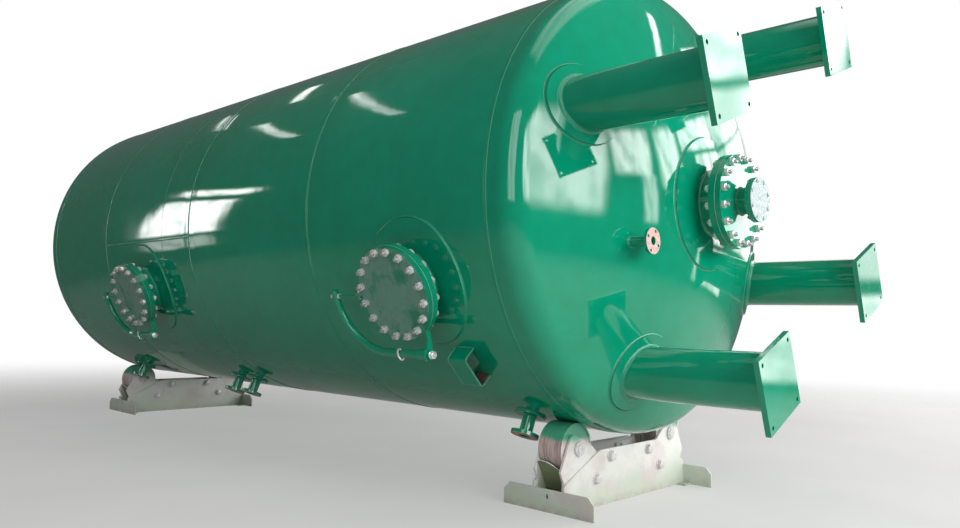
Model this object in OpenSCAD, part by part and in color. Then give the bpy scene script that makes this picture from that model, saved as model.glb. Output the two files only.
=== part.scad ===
// Pressure tank with four tube legs on one head, lying on two turning rolls.
// The tank's axis runs along X, the legs point to +X, and Z is up.
// The origin is on the floor, under the tank's axis, at the middle of the roll by the legs.

/* [Shell] */
// Inside diameter of the shell
shell_bore_d = 3000; // [2400:10:3600]
// Wall of the shell courses
shell_t = 16; // [8:1:30]
// Length between the tangent lines of the two heads
tangent_length = 6730; // [6000:10:9000]
// Gap left at each welded or loose curved seat
seat_gap = 0.3; // [0.1:0.1:1]
// Gap between two shell courses, filled by the ring weld
weld_gap = 0.4; // [0.1:0.1:2]

/* [Heads] */
// Wall of the dished heads
head_t = 16; // [8:1:30]
// Outside radius of the crown
crown_r = 3032; // [2600:1:3600]
// Outside radius of the knuckle
knuckle_r = 182; // [140:1:260]
// Straight flange beyond the knuckle
straight_flange = 80; // [40:1:100]

/* [Courses] */
// First ring seam, counted from the tangent line at the legs
seam_1 = 1783; // [1400:1:2100]
// Second ring seam
seam_2 = 3529; // [3000:1:3700]
// Third ring seam
seam_3 = 5264; // [4950:1:5600]

/* [Legs] */
// Outside diameter of a leg tube
leg_od = 323.9; // [219.1:0.1:355.6]
// Wall of a leg tube
leg_wall = 12.7; // [6:0.1:20]
// Radius of the circle that the legs stand on
leg_circle_r = 1173; // [900:1:1180]
// Front faces of the base plates, from the tangent line
leg_reach = 1142; // [800:1:1600]
// Side of a square base plate
base_side = 430; // [360:1:500]
// Thickness of a base plate
base_t = 32; // [16:1:50]
// Diameter of an anchor bolt hole
anchor_hole_d = 26; // [16:1:36]
// Distance between anchor bolt holes
anchor_spacing = 356; // [270:1:370]
// Diameter of the round pad under a leg
leg_pad_d = 470; // [400:1:480]
// Thickness of every reinforcing pad
pad_t = 14; // [8:1:20]

/* [Angles] */
// Angle of the manholes, from +Y towards +Z
manhole_angle = 202; // [190:0.1:215]
// Step from the manholes to the drain nozzles
drain_step = 45; // [35:1:50]
// Step from the manholes to the plate bracket
bracket_step = 21.3; // [20:0.1:28]
// Step from the manholes to the first leg
first_leg_step = 45; // [30:1:60]

/* [Manholes] */
// Outside diameter of a manhole neck
neck_od = 406.4; // [350:0.1:420]
// Wall of a manhole neck
neck_wall = 12.7; // [6:0.1:20]
// Diameter of the big flanges and their covers
flange_d = 597; // [560:1:640]
// Thickness of a big flange, and of its cover
flange_t = 36.6; // [25:0.1:45]
// Circle of the big flange's bolts
flange_pcd = 539.8; // [500:0.1:545]
// Number of bolts in a big flange
flange_bolts = 16; // [8:4:20]
// Diameter of a big flange's bolt hole
flange_hole_d = 28.6; // [20:0.1:32]
// Diameter of the raised joint face
face_d = 470; // [440:1:480]
// Height of the raised joint face with its gasket
face_t = 4; // [2:0.1:8]
// Cover's outer face, from the tank's skin
manhole_reach = 190; // [180:1:320]
// Diameter of a manhole's reinforcing pad
manhole_pad_d = 830; // [600:1:840]
// First manhole, from the tangent line at the legs
manhole_1_at = 752; // [620:1:1300]
// Second manhole, from the tangent line at the legs
manhole_2_at = 4460; // [4000:1:4800]

/* [Davits] */
// Diameter of the davit bar
davit_d = 48; // [30:1:60]
// Clear space from the flange's rim to the davit bar's middle
davit_offset = 94; // [80:1:120]
// Foot of the davit bar, from the manhole's middle towards the legs
davit_foot = 160; // [120:1:200]
// Arm of the davit, from the manhole's middle away from the legs
davit_arm_at = 592; // [520:1:640]
// Radius of the davit bar's bend
davit_bend_r = 362; // [200:1:365]
// Length of the sleeve that the davit turns in
sleeve_length = 90; // [60:1:140]
// Wall of the sleeve
sleeve_wall = 8; // [5:1:12]
// Radial running clearance of a turning bar, roller or pin
run_gap = 0.08; // [0.02:0.01:0.1]
// Diameter of the rod that carries the cover
rod_d = 20; // [12:1:26]
// Thickness of the lugs and of the eye
lug_t = 16; // [8:1:24]
// Width of a lug
lug_w = 60; // [40:1:80]

/* [Nozzles] */
// Diameter of the pad round the middle nozzle of the leg head
centre_pad_d = 850; // [700:1:900]
// Middle cover's front face, from the tangent line
centre_reach = 713; // [690:1:800]
// Outside diameter of the pipe stub on the middle cover
stub_od = 168.3; // [114.3:0.1:219.1]
// Wall of the pipe stub
stub_wall = 7.1; // [4:0.1:12]
// Diameter of the stub's flange and blind
stub_flange_d = 279; // [229:1:343]
// Thickness of the stub's flange and blind
stub_flange_t = 20; // [16:0.1:32]
// Stub's blind face, from the middle cover
stub_reach = 122; // [110:1:200]
// Circle of the stub's bolts
stub_pcd = 241.3; // [230:0.1:250]
// Outside diameter of the small head nozzle
small_od = 60.3; // [48.3:0.1:76.1]
// Wall of the small head nozzle
small_wall = 5.5; // [3:0.1:8]
// Diameter of the small nozzle's flange
small_flange_d = 152; // [140:1:178]
// Thickness of the small nozzle's flange
small_flange_t = 19; // [14:1:24]
// Circle of the small nozzle's bolts
small_pcd = 120.7; // [115:0.1:130]
// Small nozzle's distance from the tank's axis
small_at_r = 822; // [700:1:950]
// Small nozzle's face, from the tangent line
small_reach = 540; // [520:1:640]
// Outside diameter of a drain nozzle
drain_od = 88.9; // [60.3:0.1:114.3]
// Wall of a drain nozzle
drain_wall = 7.6; // [4:0.1:10]
// Diameter of a drain nozzle's flange
drain_flange_d = 190; // [180:1:229]
// Thickness of a drain nozzle's flange
drain_flange_t = 24; // [16:1:30]
// Circle of a drain nozzle's bolts
drain_pcd = 152.4; // [148:0.1:170]
// Drain nozzle's face, from the tank's skin
drain_reach = 150; // [110:1:200]
// Diameter of a drain nozzle's pad
drain_pad_d = 210; // [150:1:230]
// Diameter of the bolt holes in the small flanges
small_hole_d = 19; // [14:1:22]
// First drain nozzle, from the tangent line at the legs
drain_1_at = 474; // [440:1:560]
// Second drain nozzle, from the tangent line at the legs
drain_2_at = 3850; // [3700:1:3950]
// Third drain nozzle, from the second one
drain_pair = 304; // [240:1:420]
// Fourth drain nozzle, from the plain head's tangent line
drain_4_back = 465; // [450:1:530]

/* [Plate bracket] */
// Width of the bent bracket round the tank
bracket_w = 237; // [200:1:300]
// Height of the bent bracket off the skin
bracket_h = 104; // [60:1:120]
// Length of the bent bracket along the tank
bracket_l = 152; // [100:1:200]
// Plate of the bent bracket
bracket_t = 10; // [5:1:16]
// Outside radius of the bracket's bends
bracket_bend_r = 26; // [18:1:32]
// Middle of the bent bracket, from the tangent line
bracket_at = 524; // [450:1:560]

/* [Turning rolls] */
// Near roll's middle, from the tangent line at the legs
roll_1_at = 205; // [200:1:224]
// Far roll's middle, from the plain head's tangent line
roll_2_back = 228; // [140:1:230]
// Diameter of a roller
roller_d = 320; // [280:1:380]
// Width of a roller
roller_w = 180; // [160:1:220]
// Distance between the two axles of a roll
axle_spacing = 1136; // [1000:1:1200]
// Height of the axles over the floor
axle_h = 383; // [360:1:440]
// Diameter of an axle
axle_d = 60; // [40:1:80]
// Side gap between a roller and its cheeks
cheek_gap = 3; // [1:1:8]
// Thickness of the roller cheeks
cheek_t = 16; // [10:1:22]
// Thickness of the long side plates
side_t = 16; // [10:1:22]
// Height of the long side plates
side_h = 357; // [340:1:380]
// Half of the side plate's level top edge
side_top_half = 350; // [300:1:420]
// Height of the side plate's ends
side_end_h = 173; // [160:1:240]
// Distance between the feet
foot_spacing = 1470; // [1380:1:1500]
// Length of a foot in front of the roll's middle
foot_front = 352; // [260:1:400]
// Length of a foot behind the roll's middle
foot_back = 352; // [260:1:440]
// Height of a foot
foot_h = 140; // [120:1:160]
// Thickness of a foot
foot_t = 12; // [8:1:18]
// Width of a foot's sole
sole_w = 90; // [60:1:120]
// Half of a sole's length along the tank
sole_half = 195; // [160:1:300]
// Width of the tie plate between the side plates
tie_w = 240; // [160:1:300]
// Chamfer at a foot's top corners
foot_chamfer = 45; // [30:1:60]
// Diameter of the big bolts' holes
frame_hole_d = 32; // [22:1:38]

/* [Hidden] */
$fn = 96;
// Facets round curves as large as the tank
skin_fn = 360;

paint = "seagreen";
frame_paint = "#b4c4ae";
steel = "#9a8c86";

// Small overrun that lets a cut pass a face
over = 1;
// Overlap that joins two solids of one node
fuse = 2;

// Tank
shell_r = shell_bore_d / 2 + shell_t;
bore_r = shell_bore_d / 2;
head_depth = crown_r - sqrt(pow(crown_r - knuckle_r, 2) - pow(shell_r - knuckle_r, 2));
crown_x = head_depth - crown_r;
roller_r = roller_d / 2;
axle_y = axle_spacing / 2;
axis_h = axle_h + sqrt(pow(shell_r + seat_gap + roller_r, 2) - pow(axle_y, 2));
tangent_x = roll_1_at;
roll_2_at = tangent_length - roll_2_back;
drain_at = [drain_1_at, drain_2_at, drain_2_at + drain_pair, tangent_length - drain_4_back];

// Big flanges
manhole_face_r = shell_r + manhole_reach;
joint_r = manhole_face_r - flange_t;
flange_r = flange_d / 2;

// Davit bar, in the manhole's own frame
davit_y = -(flange_r + davit_offset);
davit_z = manhole_face_r - flange_t / 2;
rod_y = -(lug_t + rod_d) / 2;
pin_hole_d = 14;
stub_bolts = 8;
small_bolts = 4;
neck_root = 64;
lug_root = 8;
eye_back = 20;
eye_x = -flange_r - lug_w + eye_back;
eye_d = 42;
cap_d = 54;
hinge_rim = 6;
hinge_r = davit_d / 2 + run_gap + sleeve_wall + hinge_rim;

// Turning rolls
cheek_in = roller_w / 2 + cheek_gap;
side_in = cheek_in + cheek_t;
half_foot = foot_spacing / 2;
// Big bolts of the side plates: how far inwards of the axle and below it
inner_bolt_in = 336;
inner_bolt_down = 78;
outer_bolt_in = 175;
outer_bolt_down = 204;
inner_bolt = [axle_y - inner_bolt_in, axle_h - inner_bolt_down];
outer_bolt = [axle_y - outer_bolt_in, axle_h - outer_bolt_down];
// Cheek's lower corners
cheek_low = 60;
cheek_toe = 240;
cheek_end = 400;
cheek_heel = 150;
// Cheek's edge over the side plate and down its outer side, measured from the axle
cheek_edge = [[-200, -36], [-105, 35], [58, 92], [84, 80], [122, -3], [184, -129], [150, -200]];
// Guard plate: gap to the roller, lean from the upright, thickness and length below the axle's level
guard_gap = 14;
guard_lean = 28;
guard_t = 8;
guard_low = 196;
// Guard's torn upper edge: share of the half width, and height
guard_top = [[1, -60], [0.8, -54], [0.5, -34], [0.12, -11], [-0.25, 3], [-0.65, 8], [-1, 2]];
// Roller's rim, the recess of its web, and the drop-shaped hole in a foot
rim_t = 12;
web_recess = 6;
drop_r = 11;
drop_h = 92;
drop_tip = 24;

// Moves children onto the tank's axis, with local X = 0 at the tangent line by the legs
module on_tank() translate([tangent_x, 0, axis_h]) children();

// Local Z points out of the tank at this angle, at a distance behind the tangent line
module radial(at, angle) on_tank() translate([-at, 0, 0]) rotate([angle - 90, 0, 0]) children();

// A cylinder along X from a to b
module along_x(a, b, r) translate([a, 0, 0]) rotate([0, 90, 0])
    cylinder(h = b - a, r = r, $fn = r > bore_r / 2 ? skin_fn : $fn);

// Half of a dished head's outline, with its straight flange below the tangent line
module head_outline(r, crown, knuckle, flange) {
    centre_y = head_depth - crown_r;
    knuckle_at = shell_r - knuckle_r;
    wedge = 2 * crown;
    lean = asin(knuckle_at / (crown_r - knuckle_r));
    translate([0, -flange])
        square([r, flange]);
    intersection() {
        translate([knuckle_at, 0])
            circle(r = knuckle);
        square([r, r]);
    }
    intersection() {
        translate([0, centre_y])
            circle(r = crown, $fn = skin_fn);
        polygon([[0, centre_y], [wedge * sin(lean), centre_y + wedge * cos(lean)], [0, centre_y + wedge]]);
        square([r, r]);
    }
}

// Dished head that opens towards -X
module dished_head() rotate([0, 90, 0]) rotate_extrude($fn = skin_fn) difference() {
    head_outline(shell_r, crown_r, knuckle_r, straight_flange);
    head_outline(shell_r - head_t, crown_r - head_t, knuckle_r - head_t, straight_flange + over);
}

// Bolt holes straddling the centre lines, cut along Z
module bolt_circle(pcd, count, hole_d, height) for (i = [0 : count - 1])
    rotate([0, 0, (i + 0.5) * 360 / count]) translate([pcd / 2, 0, -over])
        cylinder(h = height + 2 * over, d = hole_d);

// Hole in the shell, radial at a distance from the tangent line
module shell_hole(at, angle, d) translate([-at, 0, 0]) rotate([angle - 90, 0, 0])
    cylinder(h = shell_r + over, d = d + 2 * seat_gap);

// Ring of the shell between two distances from the tangent line, with the holes that meet it
module course(from_at, to_at) color(paint) on_tank() difference() {
    along_x(-to_at + weld_gap / 2, -from_at - weld_gap / 2, shell_r);
    along_x(-to_at - over, -from_at + over, bore_r);
    for (at = [manhole_1_at, manhole_2_at])
        if (at + neck_od > from_at && at - neck_od < to_at) shell_hole(at, manhole_angle, neck_od);
    for (at = drain_at)
        if (at + drain_od > from_at && at - drain_od < to_at)
            shell_hole(at, manhole_angle + drain_step, drain_od);
}
module shell_course_1() course(straight_flange, seam_1);
module shell_course_2() course(seam_1, seam_2);
module shell_course_3() course(seam_2, seam_3);
module shell_course_4() course(seam_3, tangent_length - straight_flange);

module leg_head() color(paint) on_tank() difference() {
    dished_head();
    along_x(0, head_depth + over, neck_od / 2 + seat_gap);
    rotate([manhole_angle, 0, 0]) translate([0, small_at_r, 0])
        along_x(0, head_depth + over, small_od / 2 + seat_gap);
}
module plain_head() color(paint) on_tank() translate([-tangent_length, 0, 0]) mirror([1, 0, 0])
    dished_head();

// Leg places, turned with the manholes
module at_leg(i) on_tank() rotate([manhole_angle - first_leg_step - 90 * (i - 1), 0, 0])
    translate([0, leg_circle_r, 0]) children();

// Crown surface of the leg head, as seen from a leg's own place
module crown_ball(r) translate([crown_x, -leg_circle_r, 0])
    sphere(r = r, $fn = skin_fn);

// Round pad curved to the crown, with the tube standing on it
module leg(i) color(paint) at_leg(i) {
    difference() {
        along_x(0, leg_reach - base_t, leg_od / 2);
        along_x(-over, leg_reach, leg_od / 2 - leg_wall);
        crown_ball(crown_r + seat_gap);
    }
    difference() {
        intersection() {
            along_x(0, head_depth, leg_pad_d / 2);
            crown_ball(crown_r + seat_gap + pad_t);
        }
        along_x(-over, head_depth, leg_od / 2 - leg_wall);
        crown_ball(crown_r + seat_gap);
    }
}
module leg_1() leg(1);
module leg_2() leg(2);
module leg_3() leg(3);
module leg_4() leg(4);

// Square plate with four anchor holes, turned square with the manholes
module base_plate(i) color(paint) at_leg(i) rotate([first_leg_step, 0, 0]) difference() {
    translate([leg_reach - base_t, -base_side / 2, -base_side / 2])
        cube([base_t, base_side, base_side]);
    for (a = [-1, 1], b = [-1, 1])
        translate([0, a * anchor_spacing / 2, b * anchor_spacing / 2])
            along_x(leg_reach - base_t - over, leg_reach + over, anchor_hole_d / 2);
}
module base_plate_1() base_plate(1);
module base_plate_2() base_plate(2);
module base_plate_3() base_plate(3);
module base_plate_4() base_plate(4);

// Big flange on the end of its neck: Z = 0 at the joint, the neck goes down by length
module big_neck(length) {
    difference() {
        union() {
            translate([0, 0, -length])
                cylinder(h = length - face_t, d = neck_od);
            translate([0, 0, -face_t - flange_t])
                cylinder(h = flange_t, d = flange_d);
            translate([0, 0, -face_t - fuse])
                cylinder(h = face_t + fuse, d = face_d);
        }
        translate([0, 0, -length - over])
            cylinder(h = length + 2 * over, d = neck_od - 2 * neck_wall);
        translate([0, 0, -face_t - flange_t])
            bolt_circle(flange_pcd, flange_bolts, flange_hole_d, flange_t);
    }
}

// Blind cover of a big flange: Z = 0 at the joint
module big_cover() difference() {
    cylinder(h = flange_t, d = flange_d);
    bolt_circle(flange_pcd, flange_bolts, flange_hole_d, flange_t);
}

// Middle nozzle of the leg head
module centre_pad() color(paint) on_tank() translate([crown_x, 0, 0]) rotate([0, 90, 0])
    rotate_extrude($fn = skin_fn) intersection() {
        difference() {
            circle(r = crown_r + seat_gap + pad_t, $fn = skin_fn);
            circle(r = crown_r + seat_gap, $fn = skin_fn);
        }
        translate([neck_od / 2 + seat_gap, 0])
            square([(centre_pad_d - neck_od) / 2, crown_r + 2 * pad_t]);
    }
module centre_neck() color(paint) on_tank() difference() {
    translate([centre_reach - flange_t, 0, 0]) rotate([0, 90, 0])
        big_neck(centre_reach - flange_t - head_depth + neck_root);
    translate([crown_x, 0, 0]) sphere(r = crown_r - head_t, $fn = skin_fn);
}
module centre_cover() color(paint) on_tank() translate([centre_reach - flange_t, 0, 0])
    rotate([0, 90, 0]) difference() {
        big_cover();
        translate([0, 0, -over])
            cylinder(h = flange_t + 2 * over, d = stub_od - 2 * stub_wall);
    }

// Pipe stub with its flange on the middle cover, and the blind on it
module cover_stub() color(paint) on_tank() translate([centre_reach, 0, 0]) rotate([0, 90, 0])
    difference() {
        union() {
            cylinder(h = stub_reach - stub_flange_t, d = stub_od);
            translate([0, 0, stub_reach - 2 * stub_flange_t])
                cylinder(h = stub_flange_t, d = stub_flange_d);
        }
        translate([0, 0, -over])
            cylinder(h = stub_reach, d = stub_od - 2 * stub_wall);
        translate([0, 0, stub_reach - 2 * stub_flange_t])
            bolt_circle(stub_pcd, stub_bolts, small_hole_d, stub_flange_t);
    }
module stub_blind() color(paint) on_tank() translate([centre_reach + stub_reach - stub_flange_t, 0, 0])
    rotate([0, 90, 0]) difference() {
        cylinder(h = stub_flange_t, d = stub_flange_d);
        bolt_circle(stub_pcd, stub_bolts, small_hole_d, stub_flange_t);
    }

// Small open nozzle, beside the middle one at the manholes' angle
module small_nozzle() color(paint) on_tank() rotate([manhole_angle, 0, 0])
    translate([0, small_at_r, 0]) difference() {
        union() {
            along_x(0, small_reach, small_od / 2);
            along_x(small_reach - small_flange_t, small_reach, small_flange_d / 2);
        }
        along_x(-over, small_reach + over, small_od / 2 - small_wall);
        translate([crown_x, -small_at_r, 0]) sphere(r = crown_r - head_t, $fn = skin_fn);
        translate([small_reach - small_flange_t, 0, 0]) rotate([0, 90, 0])
            bolt_circle(small_pcd, small_bolts, small_hole_d, small_flange_t);
    }

// Round pad curved to the shell
module shell_pad(at, angle, d, bore_d) radial(at, angle) difference() {
    intersection() {
        cylinder(h = shell_r + pad_t + over, d = d);
        along_x(-d, d, shell_r + seat_gap + pad_t);
    }
    along_x(-d, d, shell_r + seat_gap);
    cylinder(h = shell_r + 2 * pad_t, d = bore_d + 2 * seat_gap);
}
module manhole_pad_1() color(paint) shell_pad(manhole_1_at, manhole_angle, manhole_pad_d, neck_od);
module manhole_pad_2() color(paint) shell_pad(manhole_2_at, manhole_angle, manhole_pad_d, neck_od);

// Upright plate across the davit bar, from the flange's rim to the sleeve, drawn in Y and Z
module hinge_plate() {
    rim_y = fuse - sqrt(pow(flange_r, 2) - pow(davit_foot, 2));
    low_z = joint_r - face_t - flange_t;
    translate([davit_foot - lug_t, 0, 0]) rotate([90, 0, 90]) linear_extrude(lug_t) union() {
        polygon([[rim_y, low_z], [rim_y, joint_r - face_t], [-flange_r, joint_r - face_t],
            [davit_y + hinge_r, davit_z], [davit_y, davit_z - hinge_r]]);
        translate([davit_y, davit_z]) circle(r = hinge_r);
    }
}

// Neck with its flange, and the sleeve that the davit turns in
module manhole_neck(at) color(paint) radial(at, manhole_angle) {
    difference() {
        translate([0, 0, joint_r])
            big_neck(joint_r - bore_r + shell_t + over);
        along_x(-neck_od, neck_od, bore_r);
    }
    difference() {
        union() {
            hinge_plate();
            translate([davit_foot - sleeve_length, davit_y, davit_z])
                along_x(0, sleeve_length, davit_d / 2 + run_gap + sleeve_wall);
        }
        translate([davit_foot - sleeve_length, davit_y, davit_z])
            along_x(-over, sleeve_length + over, davit_d / 2 + run_gap);
    }
}
module manhole_neck_1() manhole_neck(manhole_1_at);
module manhole_neck_2() manhole_neck(manhole_2_at);

// Cover with the lug that hangs on the davit's rod
module manhole_cover(at) color(paint) radial(at, manhole_angle) {
    translate([0, 0, joint_r])
        big_cover();
    translate([-flange_r - lug_w, -lug_t / 2, joint_r])
        difference() {
            cube([lug_w + lug_root, lug_t, flange_t]);
            translate([lug_w + flange_r + eye_x, -over, flange_t / 2]) rotate([-90, 0, 0])
                cylinder(h = lug_t + 2 * over, d = pin_hole_d);
        }
}
module manhole_cover_1() manhole_cover(manhole_1_at);
module manhole_cover_2() manhole_cover(manhole_2_at);

// Davit bar: straight foot in the sleeve with a cap, quarter bend, short arm, and the rod with its eye
module davit(at) color(paint) radial(at, manhole_angle) translate([0, 0, davit_z]) {
    bend_x = -davit_arm_at + davit_bend_r;
    bend_y = davit_y + davit_bend_r;
    translate([0, davit_y, 0])
        along_x(bend_x, davit_foot + davit_d / 2, davit_d / 2);
    translate([0, davit_y, 0])
        along_x(davit_foot + seat_gap, davit_foot + davit_d / 2, cap_d / 2);
    translate([bend_x, bend_y, 0]) rotate([0, 0, 180]) rotate_extrude(angle = 90)
        translate([davit_bend_r, 0]) circle(d = davit_d);
    translate([-davit_arm_at, bend_y, 0]) rotate([-90, 0, 0])
        cylinder(h = -bend_y + davit_d / 2, d = davit_d);
    translate([0, rod_y, 0])
        along_x(-davit_arm_at - davit_d, eye_x, rod_d / 2);
    translate([eye_x, rod_y - rod_d / 2, 0]) rotate([-90, 0, 0]) difference() {
        cylinder(h = rod_d, d = eye_d);
        translate([0, 0, -over])
            cylinder(h = rod_d + 2 * over, d = pin_hole_d);
    }
}
module davit_1() davit(manhole_1_at);
module davit_2() davit(manhole_2_at);

// Drain nozzle with its own pad
module drain_nozzle(i) color(paint) {
    angle = manhole_angle + drain_step;
    radial(drain_at[i], angle) difference() {
        union() {
            cylinder(h = shell_r + drain_reach, d = drain_od);
            translate([0, 0, shell_r + drain_reach - drain_flange_t])
                cylinder(h = drain_flange_t, d = drain_flange_d);
        }
        cylinder(h = shell_r + drain_reach + over, d = drain_od - 2 * drain_wall);
        along_x(-drain_od, drain_od, bore_r);
        translate([0, 0, shell_r + drain_reach - drain_flange_t])
            bolt_circle(drain_pcd, small_bolts, small_hole_d, drain_flange_t);
    }
    shell_pad(drain_at[i], angle, drain_pad_d, drain_od - 2 * seat_gap - fuse);
}
module drain_nozzle_1() drain_nozzle(0);
module drain_nozzle_2() drain_nozzle(1);
module drain_nozzle_3() drain_nozzle(2);
module drain_nozzle_4() drain_nozzle(3);

// Outline of a channel with round corners, open downwards
module channel_outline(w, h, r) {
    translate([-w / 2, -h])
        square([w, 2 * h - r]);
    translate([-w / 2 + r, 0])
        square([w - 2 * r, h]);
    for (side = [-1, 1])
        translate([side * (w / 2 - r), h - r]) circle(r = r);
}

// Bent plate that stands off the skin, open along the tank
module plate_bracket() color(paint) radial(bracket_at, manhole_angle + bracket_step) difference() {
    translate([-bracket_l / 2, 0, shell_r]) rotate([90, 0, 90]) linear_extrude(bracket_l) difference() {
        channel_outline(bracket_w, bracket_h, bracket_bend_r);
        channel_outline(bracket_w - 2 * bracket_t, bracket_h - bracket_t, bracket_bend_r - bracket_t);
    }
    along_x(-bracket_l, bracket_l, shell_r + seat_gap);
}

// Local X = 0 at the middle of a turning roll, Y = 0 under the tank's axis, Z = 0 on the floor
module on_roll(at) translate([tangent_x - at, 0, 0]) children();

// Flat plate standing across the tank: its outline is drawn in Y and Z, its back face is at x
module cross_plate(x, t) translate([x, 0, 0]) rotate([90, 0, 90]) linear_extrude(t) children();

module side_outline() difference() {
    polygon([[-half_foot, 0], [half_foot, 0], [half_foot, side_end_h], [side_top_half, side_h],
        [-side_top_half, side_h], [-half_foot, side_end_h]]);
    for (s = [-1, 1], bolt = [inner_bolt, outer_bolt])
        translate([s * bolt[0], bolt[1]]) circle(d = frame_hole_d);
}

// Foot: upright plate along the tank with chamfered corners and a drop-shaped hole, and a sole
module foot(s) {
    translate([0, s > 0 ? half_foot + foot_t : -half_foot, 0]) rotate([90, 0, 0]) linear_extrude(foot_t)
        difference() {
            polygon([[-foot_back, 0], [foot_front, 0], [foot_front, foot_h - foot_chamfer],
                [foot_front - foot_chamfer, foot_h], [foot_chamfer - foot_back, foot_h],
                [-foot_back, foot_h - foot_chamfer]]);
            translate([0, drop_h]) circle(r = drop_r);
            translate([0, drop_h])
                polygon([[-drop_r * cos(drop_tip), drop_r * sin(drop_tip)], [0, drop_r / sin(drop_tip)],
                    [drop_r * cos(drop_tip), drop_r * sin(drop_tip)]]);
        }
    translate([-sole_half, s > 0 ? half_foot - sole_w : -half_foot, 0])
        cube([2 * sole_half, sole_w, foot_t]);
}

module roll_frame(at) color(frame_paint) on_roll(at) {
    cross_plate(side_in, side_t) side_outline();
    cross_plate(-side_in - side_t, side_t) side_outline();
    foot(-1);
    foot(1);
    translate([-side_in - fuse, -tie_w / 2, 0])
        cube([2 * (side_in + fuse), tie_w, foot_t]);
}
module roll_frame_1() roll_frame(roll_1_at);
module roll_frame_2() roll_frame(roll_2_at);

// Cheek outline for the roller on the +Y side, drawn in Y and Z
module cheek_outline() difference() {
    polygon(concat([for (p = cheek_edge) [axle_y + p[0], axle_h + p[1]]],
        [[half_foot - foot_t, foot_h + foot_t], [half_foot - foot_t, cheek_low],
        [axle_y - cheek_toe, cheek_low], [axle_y - cheek_end, axle_h - cheek_heel],
        [axle_y - cheek_end, axle_h - cheek_low]]));
    translate(inner_bolt) circle(d = frame_hole_d);
    translate(outer_bolt) circle(d = frame_hole_d);
}

// Guard plate leaning under the roller, with its upper edge torn down on one side
module guard_plate() translate([0, axle_y, axle_h]) rotate([-guard_lean, 0, 0])
    translate([0, roller_r + guard_gap + guard_t, 0]) rotate([90, 0, 0]) linear_extrude(guard_t)
        polygon(concat([[-cheek_in - fuse, -guard_low], [cheek_in + fuse, -guard_low]],
            [for (p = guard_top) [p[0] * (cheek_in + fuse), p[1]]]));

// Two cheeks, the axle through them and the guard plate below the roller
module roller_bracket(at, s) color(frame_paint) on_roll(at) mirror([0, s > 0 ? 0 : 1, 0]) {
    cross_plate(cheek_in, cheek_t) cheek_outline();
    cross_plate(-cheek_in - cheek_t, cheek_t) cheek_outline();
    translate([0, axle_y, axle_h]) along_x(-side_in - side_t, side_in + side_t, axle_d / 2);
    guard_plate();
}
module roller_bracket_1() roller_bracket(roll_1_at, -1);
module roller_bracket_2() roller_bracket(roll_1_at, 1);
module roller_bracket_3() roller_bracket(roll_2_at, -1);
module roller_bracket_4() roller_bracket(roll_2_at, 1);

// Roller with a rim, a web and a hub
module roller(at, s) color(steel) on_roll(at) translate([0, s * axle_y, axle_h]) {
    difference() {
        along_x(-roller_w / 2, roller_w / 2, roller_r);
        along_x(-roller_w, roller_w, axle_d / 2 + run_gap);
        for (side = [0, 1])
            mirror([side, 0, 0]) difference() {
                along_x(roller_w / 2 - web_recess, roller_w, roller_r - rim_t);
                along_x(0, roller_w + over, axle_d);
            }
    }
}
module roller_1() roller(roll_1_at, -1);
module roller_2() roller(roll_1_at, 1);
module roller_3() roller(roll_2_at, -1);
module roller_4() roller(roll_2_at, 1);

shell_course_1();
shell_course_2();
shell_course_3();
shell_course_4();
leg_head();
plain_head();
leg_1();
leg_2();
leg_3();
leg_4();
base_plate_1();
base_plate_2();
base_plate_3();
base_plate_4();
centre_pad();
centre_neck();
centre_cover();
cover_stub();
stub_blind();
small_nozzle();
manhole_pad_1();
manhole_neck_1();
manhole_cover_1();
davit_1();
manhole_pad_2();
manhole_neck_2();
manhole_cover_2();
davit_2();
drain_nozzle_1();
drain_nozzle_2();
drain_nozzle_3();
drain_nozzle_4();
plate_bracket();
roll_frame_1();
roller_bracket_1();
roller_bracket_2();
roller_1();
roller_2();
roll_frame_2();
roller_bracket_3();
roller_bracket_4();
roller_3();
roller_4();
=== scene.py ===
"""Looks of a green pressure tank lying on two turning rolls: paint, welds, bolting and a plain studio.

All lengths are metres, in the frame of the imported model: X along the tank towards its legs, Z up, and the
floor at 0.
"""

import logging
import math
from dataclasses import dataclass
from enum import Enum

import bmesh
import bpy
import numpy as np
from mathutils import Matrix


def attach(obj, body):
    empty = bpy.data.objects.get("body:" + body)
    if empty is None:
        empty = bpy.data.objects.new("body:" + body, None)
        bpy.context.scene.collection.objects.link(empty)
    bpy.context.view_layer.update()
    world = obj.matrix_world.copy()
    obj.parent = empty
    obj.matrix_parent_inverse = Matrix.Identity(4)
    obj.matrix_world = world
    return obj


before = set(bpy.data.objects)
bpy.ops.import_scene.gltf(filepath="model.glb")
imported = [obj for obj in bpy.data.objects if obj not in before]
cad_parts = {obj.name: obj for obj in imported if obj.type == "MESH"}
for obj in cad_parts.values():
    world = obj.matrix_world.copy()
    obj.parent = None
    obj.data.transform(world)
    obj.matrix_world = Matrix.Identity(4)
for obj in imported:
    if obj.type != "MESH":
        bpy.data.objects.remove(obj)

Array = np.ndarray
Vec = tuple[float, float, float]
Pair = tuple[float, float]
Socket = bpy.types.NodeSocket
TURN = 2.0 * math.pi
AHEAD = (1.0, 0.0, 0.0)
LEFT = (0.0, 1.0, 0.0)
UP = (0.0, 0.0, 1.0)
SIDES = (-1.0, 1.0)
CORNERS = [(side, hand) for side in SIDES for hand in SIDES]
BIG_STEPS = 160
LEG_PAD_STEPS = 120
NECK_STEPS = 96
DRAIN_PAD_STEPS = 72
STUB_STEPS = 64
SMALL_STEPS = 48
log = logging.getLogger("tank")


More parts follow.
